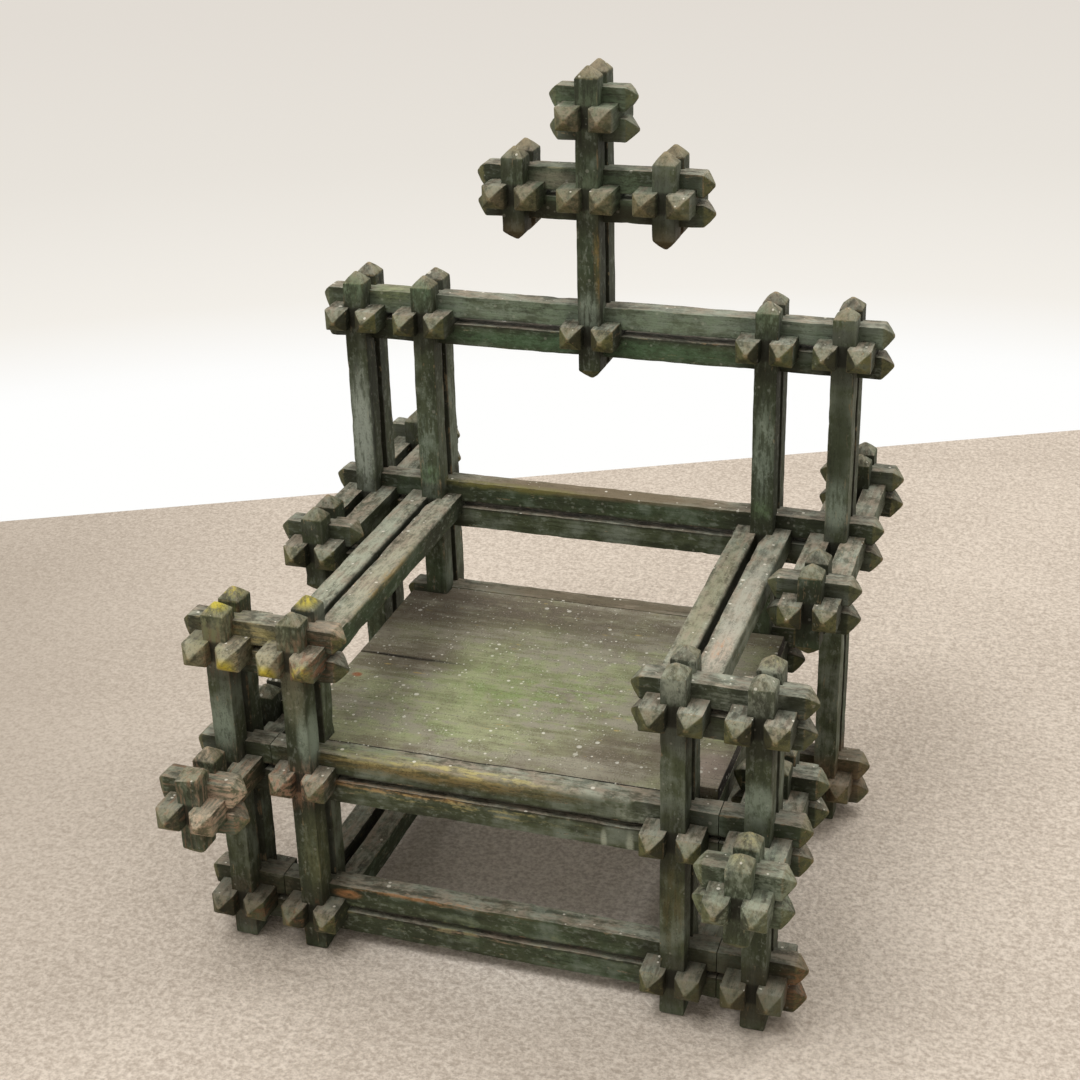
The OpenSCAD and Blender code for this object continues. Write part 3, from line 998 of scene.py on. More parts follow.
# A later stain lies over an earlier one.
STAINS = {
    "crest": [
        brush(0, BACK - 10, CROSS + 6, (130, 60, 38), (98, 114, 88), 0.6, 0.62),
        dab(-40, BACK - FACE, CROSS + 14, (36, 10, 14), (124, 120, 102), 0.65, 0.66),
        # Painted shade: the front of the crossbar's lower stick below the pyramids, near black.
        brush(0, BACK - FACE, CROSS - 16, (130, 12, 13), (42, 38, 22), 0.75, 0.75),
        brush(0, BACK - 10, CROWN + 8, (70, 60, 36), (94, 110, 84), 0.65, 0.64),
        *(dab(x, BACK, CROSS + HIGH, (30, 60, 15), (132, 120, 92), 0.75, 0.72)
          for x in (-WING, WING)),
        dab(0, BACK, CROWN + HIGH, (40, 60, 16), (136, 124, 98), 0.75, 0.72),
        # Low on the short uprights: brown paint and painted shade under the crossbar.
        *(dab(x, BACK, CROSS - 52, (50, 70, 40), (74, 60, 36), 0.9, 0.8)
          for x in (-WING, WING)),
        dab(0, BACK - 52, CROSS, (170, 30, 40), (128, 114, 88), 0.6, 0.62),
        dab(0, BACK - 52, CROWN, (60, 30, 40), (124, 110, 90), 0.65, 0.62),
        brush(10, BACK - POST, CREST + 80, (5, 8, 60), (118, 98, 52), 0.7, 0.58),
    ],
    "front ends of the arms": [
        dab(INNER, FRONT - 10, ARM + 30, (26, 60, 30), MILK, 0.6, 0.58),
        dab(OUTER, FRONT - 10, ARM + 30, (26, 60, 30), MILK, 0.6, 0.6),
        brush(OUTER - 30, FRONT - FACE, ARM + 12, (60, 10, 18), MILK, 0.4, 0.6),
        dab(OUTER, FRONT + SIDE, ARM + HIGH, (20, 20, 14), LICHEN, 0.4, 0.55),
        dab(-OUTER + 30, FRONT - 36, ARM + 10, (110, 50, 40), (172, 164, 134), 0.5, 0.63),
        dab(-OUTER, FRONT - 10, ARM + 20, (36, 60, 40), MOSS, 0.5, 0.56),
        brush(-OUTER + 34, FRONT - FACE, ARM + 10, (40, 10, 20), STRAW, 0.6, 0.56),
        dab(-INNER, FRONT - SIDE, ARM + 10, (20, 30, 40), LEAF, 0.6, 0.62),
        dab(-OUTER + SIDE, TIP, ARM - 7, (17, 17, 15), LICHEN, 0.9, 0.66),
        dab(-INNER - SIDE, TIP, ARM - 7, (14, 17, 15), LICHEN, 0.9, 0.7),
        dab(-INNER + SIDE, TIP, ARM, (18, 16, 14), LICHEN, 0.6, 0.55),
        dab(-OUTER, FRONT - SIDE, ARM + HIGH, (20, 20, 15), LICHEN, 0.8, 0.6),
        dab(-OUTER, FRONT + SIDE, ARM + HIGH, (20, 20, 14), LICHEN, 0.7, 0.55),
        dab(-INNER, FRONT + SIDE, ARM + HIGH, (20, 20, 18), LICHEN, 0.85, 0.62),
        brush(-OUTER + 5, FRONT, ARM, (44, 60, 44), RED, 0.55, 0.52),
        brush(-INNER + 14, FRONT - 26, ARM, (40, 40, 40), RED, 0.6, 0.53),
        brush(-INNER + 30, FRONT, ARM + EDGE, (34, 22, 12), PINK, 0.65, 0.58),
    ],
    "burr at the front left": [
        dab(-OUTER, BURR, SEAT, (80, 75, 75), LEAF, 0.4, 0.58),
        brush(-OUTER + 10, BURR, SEAT + 6, (80, 75, 60), PINK, 0.5, 0.53),
        brush(-OUTER, BURR, SEAT, (80, 75, 75), RED, 0.5, 0.46),
        brush(-OUTER + 30, BURR - 10, SEAT + 12, (34, 44, 26), (198, 174, 150), 0.7, 0.58),
        dab(-OUTER + SIDE, BURR - 50, SEAT, (24, 30, 22), (198, 174, 150), 0.7, 0.58),
        dab(-OUTER, BURR, SEAT + HIGH, (20, 40, 14), (182, 158, 132), 0.6, 0.58),
    ],
    "left part of the seat and bottom rails": [
        brush(-200, FRONT - 34, SEAT, (70, 30, 36), PINK, 0.6, 0.56),
        brush(-200, FRONT - 34, SEAT, (70, 30, 36), RED, 0.5, 0.48),
        brush(-220, FRONT - 34, LOW, (100, 30, 34), RED, 0.5, 0.48),
        dab(-INNER + 30, FRONT - FACE, LOW + 18, (20, 9, 7), CHIP, 0.8, 0.66),
        brush(-50, FRONT - FACE, SEAT + 20, (190, 16, 12), OCHRE, 0.7, 0.64),
        brush(-60, FRONT - FACE + 4, SEAT + EDGE, (180, 12, 9), STRAW, 0.75, 0.54),
        dab(-120, FRONT, SEAT + EDGE, (80, 16, 9), MOSS, 0.6, 0.6),
        brush(-90, FRONT - FACE, SEAT - 4, (110, 8, 7), CHIP, 0.65, 0.54),
        brush(-30, FRONT - FACE, SEAT - 9, (160, 8, 10), STRAW, 0.5, 0.5),
        brush(-60, FRONT - FACE, LOW + EDGE, (130, 9, 5), CHIP, 0.6, 0.52),
        brush(0, FRONT - FACE, LOW - 5, (170, 8, 5), PINK, 0.5, 0.46),
        dab(150, FRONT - FACE, SEAT + 12, (34, 10, 14), MILK, 0.5, 0.58),
        dab(113, FRONT - FACE, SEAT - 20, (4, 6, 15), MILK, 0.7, 1.0),
        dab(138, FRONT - FACE, SEAT - 22, (5, 6, 18), MILK, 0.7, 1.0),
    ],
    "front posts": [
        brush(INNER, FRONT - POST, SEAT - 70, (14, 8, 60), OCHRE, 0.45, 0.58),
        dab(OUTER, FRONT - POST, SEAT + 56, (26, 8, 26), PALE, 0.7, 0.7),
        dab(-OUTER, FRONT - POST, SEAT + 52, (17, 6, 38), PALE, 0.75, 0.78),
        dab(-INNER + 6, FRONT - POST, SEAT + 48, (8, 6, 40), PALE, 0.75, 0.75),
        dab(-INNER + FACE, FRONT - SIDE, SEAT + 46, (5, 18, 40), PALE, 0.8, 0.9),
        brush(-INNER + 6, FRONT - 20, SEAT - 80, (18, 26, 70), (96, 98, 66), 0.6, 0.68),
        brush(-INNER, FRONT - POST, SEAT + 100, (16, 8, 50), (108, 108, 86), 0.75, 0.74),
        brush(INNER, FRONT - POST, SEAT - 60, (16, 8, 80), (60, 62, 38), 0.6, 0.64),
    ],
    "back posts and top rail": [
        brush(40, BACK - FACE, CREST + 15, (420, 8, 22), PALE, 0.55, 0.66),
        dab(0, BACK - FACE, CREST + 15, (420, 8, 22), LEAF, 0.5, 0.58),
        brush(-OUTER, BACK - POST, ARM + 80, (18, 8, 100), (152, 160, 148), 0.8, 0.7),
        brush(INNER, BACK - POST, ARM + 100, (16, 8, 80), PALE, 0.55, 0.62),
        brush(OUTER, BACK - POST, ARM + 120, (18, 10, 100), (50, 56, 38), 0.85, 0.95),
        brush(-INNER, BACK - POST, ARM + 70, (16, 8, 90), PALE, 0.5, 0.56),
        brush(0, BACK - POST, CREST + 26, (16, 8, 30), PALE, 0.6, 0.64),
        dab(-INNER, BACK - POST, CREST + 34, (18, 12, 26), (100, 124, 96), 0.6, 0.66),
        dab(-OUTER, BACK - POST, CREST + 34, (18, 12, 26), LEAF, 0.6, 0.66),
        dab(INNER, BACK - POST, CREST + 34, (18, 12, 26), LEAF, 0.5, 0.6),
        brush(-220, BACK, CREST + EDGE, (36, 30, 22), (122, 132, 84), 0.6, 0.66),
        dab(-INNER, BACK - POST, ARM + 40, (15, 8, 16), (96, 124, 84), 0.6, 0.62),
        dab(INNER, BACK - POST, ARM + 40, (15, 8, 20), (94, 114, 80), 0.6, 0.6),
        brush(OUTER, BACK - POST, ARM + 50, (15, 8, 40), PALE, 0.6, 0.64),
        dab(0, BACK - FACE, CREST - 16, (260, 8, 14), (72, 98, 68), 0.7, 0.7),
    ],
    "burr at the front right": [
        dab(OUTER, BURR, SEAT, (75, 70, 60), LEAF, 0.6, 0.6),
        dab(OUTER, BURR - 10, SEAT + 10, (75, 70, 50), MILK, 0.5, 0.55),
        dab(OUTER, BURR, SEAT + HIGH, (20, 40, 16), STRAW, 0.5, 0.58),
    ],
    "rails at the back and joints by the floor": [
        brush(0, BACK, SEAT + EDGE, (230, 26, 9), (90, 79, 60), 0.9, 0.75),
        brush(0, BACK, ARM + EDGE, (230, 26, 7), (106, 92, 70), 0.9, 0.8),
        brush(-100, BACK - FACE, ARM + EDGE, (130, 12, 9), (112, 108, 54), 0.7, 0.64),
        dab(0, FRONT - POST, LOW, (320, 60, 20), MOSS, 0.4, 0.5),
        dab(OUTER - 20, FRONT - 20, LOW - 5, (110, 90, 50), (66, 58, 38), 0.6, 0.66),
        dab(OUTER + 10, BACK, LOW + 6, (60, 90, 44), (116, 94, 68), 0.7, 0.68),
        brush(OUTER + 40, FRONT, LOW, (30, 36, 40), (132, 92, 62), 0.65, 0.6),
        dab(-OUTER + 20, FRONT - 20, LOW, (90, 70, 50), (88, 76, 56), 0.4, 0.6),
    ],
    "arms": [
        brush(-INNER - SIDE, -40, ARM + FACE, (16, 200, 11), (170, 174, 154), 0.6, 0.66),
        brush(-INNER + SIDE, -40, ARM + FACE, (16, 200, 11), (176, 170, 146), 0.55, 0.64),
        brush(-INNER + SIDE + FACE, -80, ARM + 16, (9, 130, 14), (150, 124, 72), 0.75, 0.56),
        brush(INNER - SIDE, -40, ARM + FACE, (16, 200, 11), (138, 136, 108), 0.6, 0.72),
        brush(INNER + SIDE, -60, ARM + FACE, (16, 180, 11), (170, 166, 152), 0.65, 0.74),
        brush(INNER + SIDE, -140, ARM + FACE, (14, 60, 11), (182, 166, 150), 0.6, 0.62),
        brush(INNER + SIDE, -130, ARM + FACE, (10, 30, 11), CHIP, 0.6, 0.52),
    ],
}


@dataclass(frozen=True)
class WeatheredPaint:
    """Old green paint on the sticks, chalky and thin, and worn to bare wood on edges and ends."""

    deep: Colour = shade(44, 50, 33)
    green: Colour = shade(76, 83, 58)
    moss: Colour = shade(62, 84, 58)
    chalk: Colour = shade(134, 141, 130)
    olive: Colour = shade(100, 98, 58)
    bare: Colour = shade(124, 108, 80)
    raw: Colour = shade(164, 146, 112)
    warm: Colour = shade(146, 108, 74)
    dust: Colour = shade(156, 143, 126)
    film: Colour = shade(158, 162, 146)
    # Dark of grime, also used as painted shade in gaps, slots and by joints.
    grime_and_shade: Colour = shade(30, 28, 19)
    fleck: Colour = shade(216, 212, 198)
    dust_cover: float = 0.82
    bare_cover: float = 0.6
    fleck_cover: float = 0.8
    shadow: float = 0.35
    speckle: float = 0.3
    joint_grime_and_shade: float = 0.2
    painted_slot_shade: float = 0.75
    slot: tuple[float, float] = (9 * MM, 13 * MM)
    break_soft: float = 0.12
    relief_height: float = 1.1 * MM
    relief_strength: float = 0.7

    def material(self) -> bpy.types.Material:
        """Returns the finish of every stick."""
        g = Graph(bpy.data.materials.new("weathered_paint"))
        place, grain = g.place(), g.attribute("grain")
        u, v, up = g.split(g.attribute("section"))
        luck, chance, _ = g.split(g.attribute("stick"))
        chip, upright, near = g.split(g.attribute("wear"))
        cloud = g.mottle(place, 11, 4)
        patch = g.mottle(place, 38, 4, 0.6)
        blot = g.flow(grain, 64, 120, 4, 0.65)
        fine = g.flow(grain, 190, 320, 3, 0.6)
        grit = g.flow(grain, 460, 800, 2, 0.6)
        streak = g.flow(grain, 10, 110, 4, 0.65)
        stroke = g.flow(grain, 32, 230, 3, 0.6)
        fibre = g.flow(grain, 28, 560, 3, 0.55)
        facing = g.facing()
        height = g.split(place)[2]
        top = facing.rise(0.3, 0.85)
        head = up.rise(-0.1, 0.1)

        tone = cloud * 0.5 + streak * 0.4 + blot * 0.35 + luck * 0.2 - 0.26
        paint = g.mix(tone.rise(0.25, 0.75), self.deep, self.green)
        mossy = (cloud * 0.7 + patch * 0.4 - luck * 0.15 - height * 0.2).rise(0.42, 0.66)
        paint = g.mix(mossy * 0.6, paint, self.moss)
        chalky = (patch * 0.5 + cloud * 0.35 + streak * 0.25 + luck * 0.12 - 0.1).rise(0.5, 0.66)
        dabs = (blot * 0.6 + fine * 0.45).rise(0.54, 0.66)
        paint = g.mix((chalky * 0.5).most(dabs * 0.4) * (1.0 - head * 0.4), paint, self.chalk)
        yellowed = head * (0.4 + 0.5 * chance) * (0.4 + 0.6 * blot.rise(0.42, 0.56))
        paint = g.mix(yellowed, paint, self.olive)
        # Painted shade on the inner faces in the gap; near joints, grime and painted shade.
        gap_shade_and_grime = (near * patch.rise(0.3, 0.6) * 0.5).most((-v).rise(0.7, 0.95) * 0.7)
        paint = g.mix(gap_shade_and_grime, paint, self.grime_and_shade)

        dust = g.mix((patch * 0.6 + stroke * 0.5).rise(0.42, 0.68), self.dust, self.film)
        settled = top * (0.35 + 0.65 * (blot * 0.5 + fine * 0.3 + streak * 0.3).rise(0.46, 0.62))
        settled = settled * (1.0 - head * 0.25)
        colour = g.mix(settled * self.dust_cover, paint, dust)

        rim = abs(u).least(abs(v)) + (fine - 0.5) * 0.25
        bare = patch * 0.55 + stroke * 0.45 + blot * 0.3 + chance * 0.1 - 0.12
        edge = rim.rise(0.8, 1.0) * bare.rise(0.63, 0.75)
        ridge = (1.0 - (abs(up) + (fine - 0.5) * 0.2).rise(0.0, 0.12)) * bare.rise(0.58, 0.7)
        tip = (up + (fine - 0.5) * 0.5).rise(0.78, 1.0) * blot.rise(0.35, 0.55)
        chipped = (chip * rim.rise(0.7, 0.95) + (fine - 0.5) * 0.9).rise(0.65, 0.85)
        flaked = (stroke * 0.75 + fine * 0.3 + patch * 0.2 + chance * 0.03).rise(0.76, 0.82)
        worn = edge.most(ridge * 0.7).most(tip * 0.8).most(chipped * 0.8).most(flaked * 0.75)
        wood = g.mix(fibre.rise(0.35, 0.65), self.bare, self.raw)
        wood = g.mix(cloud.rise(0.48, 0.6) * 0.5, wood, self.warm)
        colour = g.mix(worn * self.bare_cover, colour, wood)

        in_blots = patch * 0.35 + blot * 0.35 + fine * 0.3 + 0.02
        in_strokes = stroke * 0.6 + patch * 0.2 + fine * 0.25
        for stain in (one for group in STAINS.values() for one in group):
            low, even = stain.low(), stain.even()
            pattern = in_strokes if stain.strokes else in_blots
            shown = even + (1.0 - even) * pattern.rise(low, low + self.break_soft)
            share = g.spot(place, stain.centre, stain.reach) * shown
            colour = g.mix(share * stain.strength, colour, stain.colour)

        shadowed = 1.0 - (streak * 0.4 + blot * 0.45 + grit * 0.25).rise(0.42, 0.53)
        colour = g.mix(shadowed * self.shadow, colour, self.grime_and_shade)
        # Painted shade: upright faces in the channels between stubs, by each joint level.
        slots = Sock(g, 0.0)
        for level in (LOW, SEAT, ARM, CREST, CROSS, CROWN):
            slots = slots.most(1.0 - abs(height - level * MM).rise(*self.slot))
        dark = slots * upright * near.rise(0.9, 1.0)
        colour = g.mix(dark * self.painted_slot_shade, colour, self.grime_and_shade)
        # Darker right at each joint: grime and painted shade.
        colour = g.mix(near.rise(0.8, 1.0) * self.joint_grime_and_shade, colour, self.grime_and_shade)
        speckled = 1.0 - (fibre * 0.5 + grit * 0.6).rise(0.42, 0.5)
        colour = g.mix(speckled * self.speckle, colour, self.grime_and_shade)
        flecks = g.specks(place, 150, 0.14, 0.22).most(g.specks(place, 80, 0.1, 0.16))
        colour = g.mix(flecks * (0.15 + 0.85 * top) * self.fleck_cover, colour, self.fleck)

        relief = fibre * 0.5 + streak * 0.9 + fine * 0.6 + blot * 0.6 - worn * 0.8
        rough = 0.62 + 0.2 * patch + 0.1 * worn
        normal = g.bump(relief, self.relief_height, self.relief_strength)
        return g.finish(Base_Color=colour, Roughness=rough, Normal=normal, Specular_IOR_Level=SHEEN)


@dataclass(frozen=True)
class SeatPaint:
    """Thin green paint on the seat board, rubbed to grey wood and spattered with white."""

    grey: Colour = shade(144, 140, 122)
    green: Colour = shade(150, 154, 118)
    brown: Colour = shade(98, 88, 74)
    leaf: Colour = shade(124, 144, 84)
    ochre: Colour = shade(172, 150, 88)
    white: Colour = shade(224, 222, 210)
    seam: Colour = shade(34, 30, 24)
    rosy: Colour = shade(158, 142, 132)
    rust: Colour = shade(150, 92, 56)
    leafy: tuple[tuple[int, ...], ...] = ((-32, -70, 75, 35), (-140, -135, 70, 40),
                                          (-78, -160, 60, 30), (-50, 70, 90, 30),
                                          (40, -50, 70, 20), (-20, -50, 190, 130))
    shaded: tuple[tuple[int, ...], ...] = ((-180, 100, 240, 120), (30, 120, 360, 80),
                                           (-170, -20, 100, 60), (130, -150, 140, 60))

    def material(self) -> bpy.types.Material:
        """Returns the finish of the seat board."""
        g = Graph(bpy.data.materials.new("seat_paint"))
        place = g.place()
        rim, edge, _ = g.split(g.attribute("section"))
        cloud = g.mottle(place, 9, 3)
        patch = g.mottle(place, 30, 4, 0.6)
        blot = g.flow(place, 70, 60, 4, 0.65)
        fine = g.flow(place, 200, 150, 3, 0.65)
        grit = g.flow(place, 640, 400, 2, 0.6)
        streak = g.flow(place, 9, 80, 5, 0.65)
        stroke = g.flow(place, 26, 210, 3, 0.6)
        fibre = g.flow(place, 22, 480)
        colour = g.mix((cloud * 0.6 + streak * 0.5 + blot * 0.3 - 0.2).rise(0.44, 0.56),
                       self.grey, self.green)
        colour = g.mix((patch * 0.5 + streak * 0.6 + blot * 0.2).rise(0.6, 0.76) * 0.55, colour,
                       self.brown)

        def spot(x: float, y: float, wide: float, deep: float, down: float = 50) -> Sock:
            """Returns a rounded patch on the board's face, from millimetres."""
            return g.spot(place, (x * MM, y * MM, (SEAT + EDGE) * MM),
                          (wide * MM, deep * MM, down * MM))

        for values in self.leafy:
            leafy = spot(*values) * (streak * 0.4 + blot * 0.5).rise(0.38, 0.6)
            colour = g.mix(leafy * 0.55, colour, self.leaf)
        for values in self.shaded:
            shaded = spot(*values) * (streak * 0.6 + blot * 0.4).rise(0.36, 0.56)
            colour = g.mix(shaded * 0.8, colour, self.brown)
        # Painted shade: a dark line along the crack, as if in its groove.
        colour = g.mix(spot(-165, -27, 90, 4, 10) * 0.9, colour, self.seam)
        colour = g.mix(spot(195, -160, 35, 60, 20) * 0.7, colour, self.rosy)
        colour = g.mix(spot(-194, -75, 8, 6, 10) * fine.rise(0.3, 0.5), colour, self.rust)
        chips = (stroke * 0.75 + fine * 0.35).rise(0.68, 0.75)
        colour = g.mix(chips * (0.3 + 0.5 * patch.rise(0.4, 0.6)), colour, self.ochre)
        colour = g.mix(rim.rise(0.3, 1.0) * patch.rise(0.3, 0.7) * 0.6, colour, self.brown)
        dark = 1.0 - (fibre * 0.4 + stroke * 0.4 + grit * 0.3).rise(0.44, 0.54)
        colour = g.mix(dark * 0.35, colour, self.brown)
        pits = 1.0 - (grit * 0.6 + fine * 0.4).rise(0.38, 0.46)
        colour = g.mix(pits * 0.3, colour, self.seam)
        colour = g.mix(edge.rise(0.2, 0.8), colour, self.seam)
        haze = (grit * 0.6 + blot * 0.5).rise(0.6, 0.74)
        colour = g.mix(haze * 0.2, colour, self.white)
        spatter = g.specks(place, 75, 0.2, 0.2).most(g.specks(place, 120, 0.3, 0.2))
        spatter = spatter.most(g.specks(place, 240, 0.3, 0.22)) * (0.5 + 0.5 * patch.rise(0.4, 0.6))
        colour = g.mix(spatter * 0.75, colour, self.white)
        relief = fibre * 0.6 + streak * 0.9 + fine * 0.5 + blot * 0.4
        return g.finish(Base_Color=colour, Roughness=0.6 + 0.2 * patch,
                        Normal=g.bump(relief, 1.0 * MM, 0.7), Specular_IOR_Level=SHEEN)


class Workshop:
    """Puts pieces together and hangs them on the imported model."""

    SMOOTH = math.radians(28)  # edges flatter than this are shaded smooth

    def __init__(self) -> None:
        """Makes the bench and the two finishes."""
        self.bench = Bench(STOCK)
        self.paint = WeatheredPaint().material()
        self.seat_paint = SeatPaint().material()
        self.drift = self.clouds("drift", 60 * MM)
        self.wander = self.clouds("wander", 13 * MM)

    @staticmethod
    def clouds(name: str, size: float) -> bpy.types.Texture:
        """Returns smooth three-part noise with features of this size."""
        texture = bpy.data.textures.new(name, "CLOUDS")
        texture.cloud_type = "COLOR"
        texture.noise_scale = size
        texture.noise_depth = 1
        return texture

    def weather(self, obj: bpy.types.Object) -> None:
        """Moves the surface a little, as hand work and years do.

        Neighbours move alike, since the shift depends on the place alone, so joints stay shut.

        Args:
            obj: A piece in its place.
        """
        for texture, strength in ((self.drift, 1.6 * MM), (self.wander, 0.9 * MM)):
            apply_modifier(obj, "DISPLACE", texture=texture, strength=strength, mid_level=0.5,
                           direction="RGB_TO_XYZ", texture_coords="LOCAL", space="LOCAL")

    def hang(self, parts: list[bpy.types.Object], node: str,
             material: bpy.types.Material) -> bpy.types.Object:
        """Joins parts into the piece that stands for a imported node.

        Args:
            parts: Its sticks, in place.
            node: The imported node.
            material: Its finish.

        Returns:
            The piece.
        """
        piece = join(parts, f"{node}_carved")
        self.weather(piece)
        low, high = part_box(node)
        co = np.clip(Bench.places(piece.data), low, high)
        piece.data.vertices.foreach_set("co", co.ravel())
        pick(piece)
        bpy.ops.object.shade_smooth_by_angle(angle=self.SMOOTH)
        apply_modifier(piece, "WEIGHTED_NORMAL", keep_sharp=True, weight=80)
        piece.data.materials.clear()
        piece.data.materials.append(material)
        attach(piece, "root")
        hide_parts(node)
        off = max(np.abs(co.min(0) - low).max(), np.abs(co.max(0) - high).max())
        LOG.info("%s: %d faces, box within %.1f mm", piece.name, len(piece.data.polygons), off / MM)
        return piece

    def sticks(self, node: str, parts: list[bpy.types.Object]) -> bpy.types.Object:
        """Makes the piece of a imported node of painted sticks."""
        return self.hang(parts, node, self.paint)


SIDES = {"left": -1, "right": 1}


@dataclass
class Posts:
    """The eight pairs of uprights, from the floor to the arms or to the top rail."""

    front: tuple[float, ...] = (GRID.bottom_z, GRID.seat_z, GRID.arm_z)
    back_outer: tuple[float, ...] = (GRID.bottom_z, GRID.arm_z, GRID.top_z)
    back_inner: tuple[float, ...] = (GRID.bottom_z, GRID.seat_z, GRID.arm_z, GRID.top_z)

    def build(self, shop: Workshop) -> None:
        """Makes the posts in the shop."""
        bench = shop.bench
        for name, side in SIDES.items():
            for place, x in (("outer", GRID.outer_x), ("inner", GRID.inner_x)):
                back = self.back_outer if place == "outer" else self.back_inner
                for depth, y, joints in (("front", GRID.front_y, self.front),
                                         ("back", GRID.back_y, back)):
                    plan = replace(bench.plan(Way.UPRIGHT, *joints), lo=0.0, lo_end=End.FOOT)
                    shop.sticks(f"{depth}_{name}_{place}_post", bench.upright(side * x, y, plan))


@dataclass
class Rails:
    """Level pairs of the bottom frame, the seat frame and the arms."""

    butt_gap: float = 0.2 * MM
    arm_thicker: float = 3.6 * MM
    arm_edge: float = 4.5 * MM

    def front_rail(self, shop: Workshop, node: str, z: float, knee: bool = False) -> None:
        """Makes a front rail in three lengths that butt between the posts.

        Args:
            shop: Where it is made.
            node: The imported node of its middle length.
            z: Height of its middle line.
            knee: Whether its top edge is worn round.
        """
        bench, gap = shop.bench, self.butt_gap / 2
        inner, outer = GRID.inner_x, GRID.outer_x
        tip = outer + STOCK.reach(Way.ACROSS)
        middle = StickPlan(Way.ACROSS, -GRID.butt_x + gap, GRID.butt_x - gap, (-inner, inner),
                           lo_end=End.FLAT, hi_end=End.FLAT,
                           knee_worn=STOCK.side_half + STOCK.knee_start if knee else 0.0)
        shop.sticks(node, bench.across(GRID.front_y, z, middle))
        right = StickPlan(Way.ACROSS, GRID.butt_x + gap, tip, (outer,), lo_end=End.FLAT)
        left = StickPlan(Way.ACROSS, -tip, -GRID.butt_x - gap, (-outer,), hi_end=End.FLAT)
        shop.sticks(f"{node}_end_right", bench.across(GRID.front_y, z, right))
        shop.sticks(f"{node}_end_left", bench.across(GRID.front_y, z, left))

    def build(self, shop: Workshop) -> None:
        """Makes the rails in the shop."""
        bench = shop.bench
        inner, outer = GRID.inner_x, GRID.outer_x
        front, back = GRID.front_y, GRID.back_y
        self.front_rail(shop, "front_bottom_rail", GRID.bottom_z)
        self.front_rail(shop, "front_seat_rail", GRID.seat_z, knee=True)
        full = bench.plan(Way.ACROSS, -outer, -inner, inner, outer)
        for node, z in (("back_bottom_rail", GRID.bottom_z), ("back_arm_rail", GRID.arm_z)):
            shop.sticks(node, bench.across(back, z, full))
        shop.sticks("back_seat_rail",
                    bench.across(back, GRID.seat_z, bench.plan(Way.ACROSS, -inner, inner)))
        run = bench.plan(Way.DEEP, front, back)
        arm = replace(run, thicker=self.arm_thicker, knee_side=1, knee_edge=self.arm_edge,
                      knee_worn=STOCK.side_half + STOCK.knee_start)
        for name, side in SIDES.items():
            for node, z, plan in (("bottom_side_rail", GRID.bottom_z, run),
                                  ("seat_side_rail", GRID.seat_z, run), ("arm", GRID.arm_z, arm)):
                shop.sticks(f"{node}_{name}", bench.deep(side * inner, z, plan))
            for node, y, z in (("front_foot_stub", front, GRID.bottom_z),
                               ("back_foot_stub", back, GRID.bottom_z),
                               ("front_arm_stub", front, GRID.arm_z)):
                shop.sticks(f"{node}_{name}", bench.stub(side * outer, y, z))
            ends = sorted((side * inner, side * outer))
            shop.sticks(f"front_arm_rail_{name}",
                        bench.across(front, GRID.arm_z, bench.plan(Way.ACROSS, *ends)))


@dataclass
class Burrs:
    """The outriggers beside the chair and the cluster of short sticks round each of their ends."""

    broken: float = 10 * MM

    def burr(self, shop: Workshop, node: str, x: float, y: float, z: float,
             broken: float = 0.0) -> None:
        """Makes the four short sticks round an outrigger's end.

        Args:
            shop: Where it is made.
            node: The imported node.
            x: Middle of the joint.
            y: Middle of the joint.
            z: Middle of the joint.
            broken: Height lost from the front upright.
        """
        bench = shop.bench
        parts = bench.across(y, z, bench.plan(Way.ACROSS, x))
        parts += bench.upright(x, y, replace(bench.plan(Way.UPRIGHT, z), snapped=broken))
        shop.sticks(node, parts)

    def build(self, shop: Workshop) -> None:
        """Makes the outriggers and their burrs in the shop."""
        bench = shop.bench
        for name, side in SIDES.items():
            x = side * GRID.outer_x
            for level, y, z, run in (("seat", GRID.front_y, GRID.seat_z, GRID.seat_burr),
                                     ("arm", GRID.back_y, GRID.arm_z, GRID.arm_burr)):
                plan = bench.plan(Way.DEEP, y - run, y, y + run)
                shop.sticks(f"{level}_outrigger_{name}", bench.deep(x, z, plan))
                for place, way in (("front", -1), ("rear", 1)):
                    node = f"{level}_{place}_burr_{name}"
                    broken = self.broken if node == "seat_front_burr_left" else 0.0
                    self.burr(shop, node, x, y + way * run, z, broken)


@dataclass
class Crest:
    """The top rail and the stepped crest that stands on it."""

    def build(self, shop: Workshop) -> None:
        """Makes the crest in the shop."""
        bench, y = shop.bench, GRID.back_y
        inner, outer, beside = GRID.inner_x, GRID.outer_x, GRID.crossbar_x
        wide = bench.plan(Way.ACROSS, -outer, -inner, 0.0, inner, outer)
        shop.sticks("top_rail", bench.across(y, GRID.top_z, wide))
        stubs = {"outer_left": -outer, "inner_left": -inner, "centre": 0.0, "inner_right": inner,
                 "outer_right": outer}
        for name, x in stubs.items():
            shop.sticks(f"top_stub_{name}", bench.stub(x, y, GRID.top_z))
        tall = bench.plan(Way.UPRIGHT, GRID.top_z, GRID.crossbar_z, GRID.crown_z)
        shop.sticks("finial_post", bench.upright(0.0, y, tall))
        bar = bench.plan(Way.ACROSS, -beside, 0.0, beside)
        shop.sticks("crossbar", bench.across(y, GRID.crossbar_z, bar))
        for name, x in {"left": -beside, "centre": 0.0, "right": beside}.items():
            shop.sticks(f"crossbar_stub_{name}", bench.stub(x, y, GRID.crossbar_z))
            if x:
                short = bench.plan(Way.UPRIGHT, GRID.crossbar_z)
                shop.sticks(f"crossbar_upright_{name}", bench.upright(x, y, short))
        shop.sticks("crown_bar", bench.across(y, GRID.crown_z, bench.plan(Way.ACROSS, 0.0)))
        shop.sticks("crown_stub", bench.stub(0.0, y, GRID.crown_z))


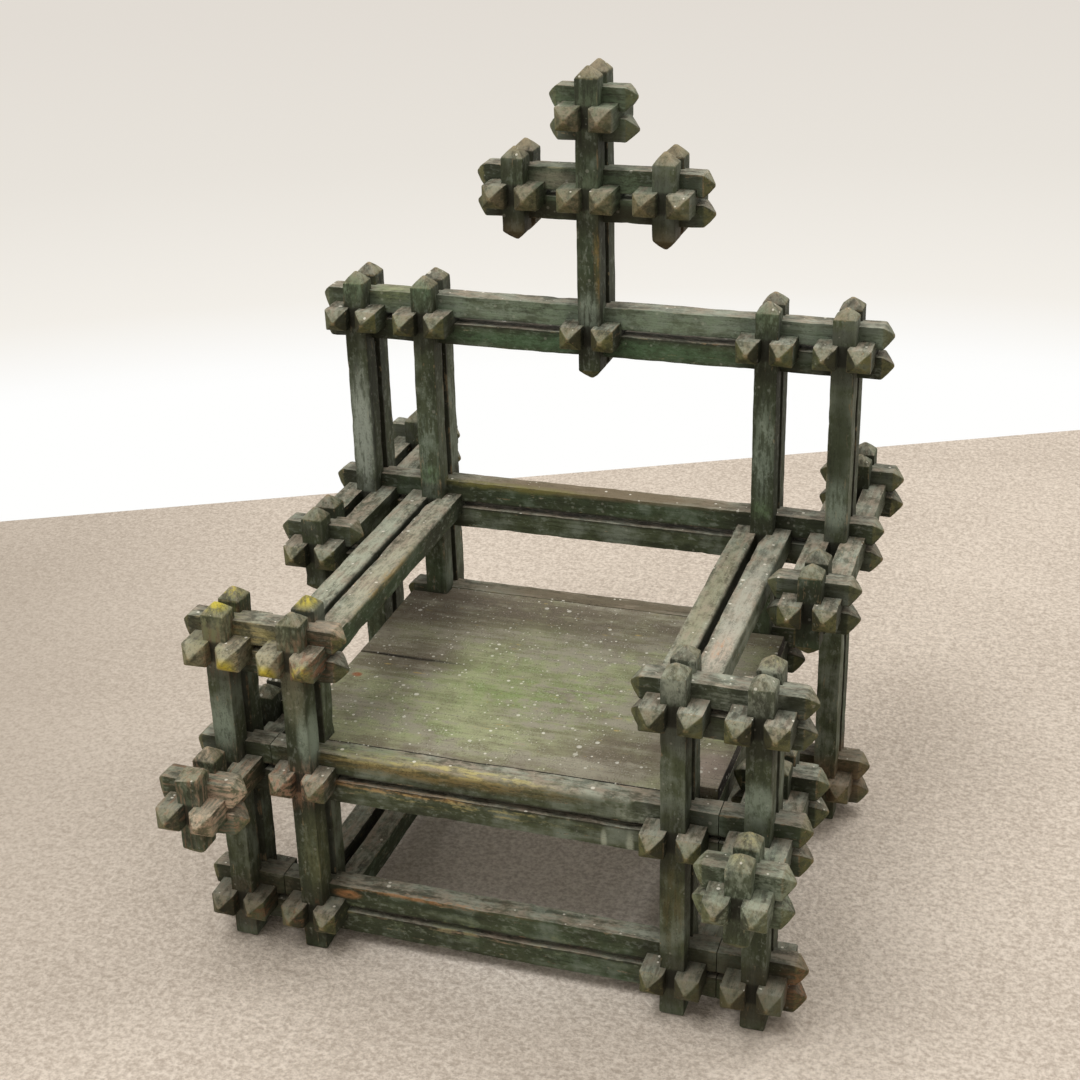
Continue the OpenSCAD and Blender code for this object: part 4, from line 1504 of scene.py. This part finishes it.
@dataclass
class SeatBoard:
    """The board, with its corners cut out round the inner posts and a crack at its left."""

    fit: float = 0.4 * MM
    side_fit: float = 1 * MM
    edge: float = 1.4 * MM
    step: float = 14 * MM
    crack_y: float = -27 * MM
    crack_run: float = 84 * MM
    crack_deep: float = 5 * MM
    crack_mouth: float = 1.6 * MM
    crack_taper: float = 0.2
    rim_fade: float = 40 * MM
    seam_fade: float = 1.5 * MM

    def build(self, shop: Workshop) -> None:
        """Makes the board in the shop."""
        half_w = min(GRID.inner_x + STOCK.side_half,
                     GRID.outer_x - STOCK.reach(Way.ACROSS) - self.side_fit)
        front = GRID.front_y + STOCK.width / 2 + self.fit
        back = GRID.back_y - STOCK.width / 2 - self.fit
        low = GRID.seat_z + STOCK.width / 2
        top = GRID.seat_z + STOCK.level_half
        board = block((-half_w, front, low), (half_w, back, top), "board")
        post_x = GRID.inner_x - STOCK.width / 2 - self.fit
        deep = STOCK.side_half - STOCK.width / 2
        wide, over = 2 * STOCK.width, 5 * MM
        corners = [block((side * post_x, y - way * over, low - over),
                         (side * (post_x + wide), y + way * deep, top + over))
                   for side in (-1, 1) for y, way in ((front, 1), (back, -1))]
        cut_away(board, corners)
        pick(board)
        bpy.ops.object.mode_set(mode="EDIT")
        choose(board, "edges", lambda e: False)
        bpy.ops.mesh.edges_select_sharp(sharpness=math.radians(40))
        bpy.ops.mesh.bevel(offset=self.edge, segments=2, affect="EDGES")
        for axis, (start, stop) in enumerate(((-half_w, half_w), (front, back))):
            count = round((stop - start) / self.step)
            for i in range(1, count):
                plane = [0.0, 0.0, 0.0]
                plane[axis] = start + (stop - start) * i / count
                normal = [0.0, 0.0, 0.0]
                normal[axis] = 1.0
                bpy.ops.mesh.select_all(action="SELECT")
                bpy.ops.mesh.bisect(plane_co=plane, plane_no=normal)
        bpy.ops.object.mode_set(mode="OBJECT")
        cut_away(board, [self.crack(half_w, top)])
        self.mark(board, half_w, front, back)
        shop.hang([board], "seat_board", shop.seat_paint)

    def crack(self, half_w: float, top: float) -> bpy.types.Object:
        """Makes the thin wedge that opens the crack from the board's left edge.

        Args:
            half_w: Half of the board's width.
            top: Height of its face.
        """
        over, mouth = 2 * MM, self.crack_mouth
        wedge = block((-half_w - over, self.crack_y - mouth, top - self.crack_deep),
                      (-half_w + self.crack_run, self.crack_y + mouth, top + over), "crack")
        pick(wedge)
        bpy.ops.object.mode_set(mode="EDIT")
        for tapered in (lambda v: v.co.z < top, lambda v: v.co.x > -half_w):
            choose(wedge, "verts", tapered)
            bpy.ops.transform.resize(value=(1, self.crack_taper, 1),
                                     center_override=(0, self.crack_y, 0))
        bpy.ops.object.mode_set(mode="OBJECT")
        return wedge

    def mark(self, board: bpy.types.Object, half_w: float, front: float, back: float) -> None:
        """Writes how near its rim each point of the board is.

        Args:
            board: The board.
            half_w: Half of its width.
            front: Its front edge.
            back: Its back edge.
        """
        co = Bench.places(board.data)
        away = np.minimum.reduce([half_w - np.abs(co[:, 0]), co[:, 1] - front, back - co[:, 1]])
        rim = np.clip(1 - away / self.rim_fade, 0, 1)
        seam = np.clip(1 - away / self.seam_fade, 0, 1)
        Bench.write(board.data, "section", np.stack([rim, seam, rim], 1))


@dataclass
class Studio:
    """Floor, light and camera. None of it is part of the chair."""

    camera_place: Triple = (0.5220, -1.5854, 1.1407)
    azimuth: float = 18.785
    elevation: float = 25.008
    roll: float = -1.623
    lens: float = 61.478
    floor_edge: Triple = (-0.3378, 0.9595, 0.0)
    floor_turn: float = 27.0
    fill: float = 0.84
    floor_size: tuple[float, float] = (14.0, 8.0)
    paper: tuple[tuple[float, Colour], ...] = (
        (0.334, shade(255, 255, 254)), (0.352, shade(243, 239, 232)),
        (0.385, shade(232, 227, 219)), (0.425, shade(226, 220, 212)))
    lamps: tuple[tuple[str, Triple, float, float], ...] = (
        ("key", (-0.8, -1.1, 2.8), 2.0, 50.0), ("rear", (1.1, 1.3, 2.5), 1.8, 34.0))
    lamp_aim: Triple = (0.0, 0.0, 0.35)

    def build(self) -> None:
        """Makes the floor, the lights and the camera."""
        self.set_camera()
        self.lay_floor()
        self.set_lights()
        bpy.context.scene.view_settings.view_transform = "Standard"

    def set_camera(self) -> None:
        """Puts the camera where the photograph was taken from."""
        data = bpy.data.cameras.new("camera")
        data.lens = self.lens
        data.sensor_width = 36.0
        camera = bpy.data.objects.new("camera", data)
        bpy.context.scene.collection.objects.link(camera)
        turn = (Matrix.Rotation(math.radians(self.azimuth), 4, "Z")
                @ Matrix.Rotation(math.radians(90 - self.elevation), 4, "X")
                @ Matrix.Rotation(math.radians(self.roll), 4, "Z"))
        camera.matrix_world = Matrix.Translation(self.camera_place) @ turn
        bpy.context.scene.camera = camera

    def lay_floor(self) -> None:
        """Lays the pale carpet under the chair, up to its straight far edge."""
        deselect()
        wide, deep = self.floor_size
        bpy.ops.mesh.primitive_plane_add(size=1, location=(0, -deep / 2, 0))
        floor = bpy.context.object
        floor.name = "floor"
        floor.scale = (wide, deep, 1.0)
        bpy.ops.object.transform_apply(location=True, rotation=False, scale=True)
        floor.data.transform(Matrix.Translation(self.floor_edge)
                             @ Matrix.Rotation(math.radians(self.floor_turn), 4, "Z"))
        g = Graph(bpy.data.materials.new("pale_carpet"))
        place = g.place()
        pile = g.mottle(place, 210, 3, 0.7)
        tuft = g.mottle(place, 90, 2, 0.6)
        wash = g.mottle(place, 4, 3)
        # Painted shade: the floor far to the left is darker.
        far_left_shade = g.spot(place, (-1.1, -0.1, 0.0), (0.9, 1.2, 1.0))
        worn = (pile * 0.9 + tuft * 0.4 + wash * 0.2).rise(0.55, 0.95)
        colour = g.mix(worn, shade(176, 164, 151), shade(218, 207, 194))
        colour = g.mix(far_left_shade * 0.6, colour, shade(160, 150, 138))
        # Painted light: the floor under the chair is lighter, thinning the chair's shadow.
        under = g.spot(place, (0.0, 0.0, 0.0), (0.32, 0.34, 1.0))
        colour = g.mix(under, colour, g.mix(worn, shade(198, 187, 176), shade(246, 238, 228)))
        floor.data.materials.append(g.finish(Base_Color=colour, Roughness=0.95,
                                             Normal=g.bump(pile + tuft, 2.5 * MM, 0.7),
                                             Specular_IOR_Level=0.05))

    def set_lights(self) -> None:
        """Lights the chair softly from above and in front, before a white background."""
        world = bpy.data.worlds.new("studio")
        bpy.context.scene.world = world
        g = Graph(world)
        seen = Sock(g, 0.0)
        for ray in ("Camera", "Glossy", "Transmission"):
            seen = seen.most(g.node("ShaderNodeLightPath", output=f"Is {ray} Ray"))
        strength = g.node("ShaderNodeMapRange", None,
                          {"Value": seen, "To Min": self.fill, "To Max": 1.0})
        level = g.split(g.node("ShaderNodeTexCoord", output="Generated"))[2]
        rise = g.node("ShaderNodeMapRange", None, {"Value": level, "From Min": -1.0})
        paper = g.node("ShaderNodeValToRGB", {"stops": self.paper}, {0: rise})
        background = g.node("ShaderNodeBackground", None, {"Color": paper, "Strength": strength})
        g.node("ShaderNodeOutputWorld", None, {0: background})
        for name, place, size, power in self.lamps:
            data = bpy.data.lights.new(name, "AREA")
            data.shape = "DISK"
            data.size = size
            data.energy = power
            lamp = bpy.data.objects.new(name, data)
            bpy.context.scene.collection.objects.link(lamp)
            lamp.location = place
            aim = Vector(self.lamp_aim) - Vector(place)
            lamp.rotation_euler = aim.to_track_quat("-Z", "Y").to_euler()


def main() -> None:
    """Builds the studio and the chair."""
    logging.basicConfig(level=logging.INFO, format="%(name)s: %(message)s")
    Studio().build()
    shop = Workshop()
    for part in (Posts(), Rails(), Burrs(), Crest(), SeatBoard()):
        part.build(shop)
        LOG.info("%s done", type(part).__name__)
    LOG.info("%d stick shapes modelled", len(shop.bench.made))
    for master in shop.bench.made.values():
        bpy.data.objects.remove(master)


if __name__ == "__main__":
    main()
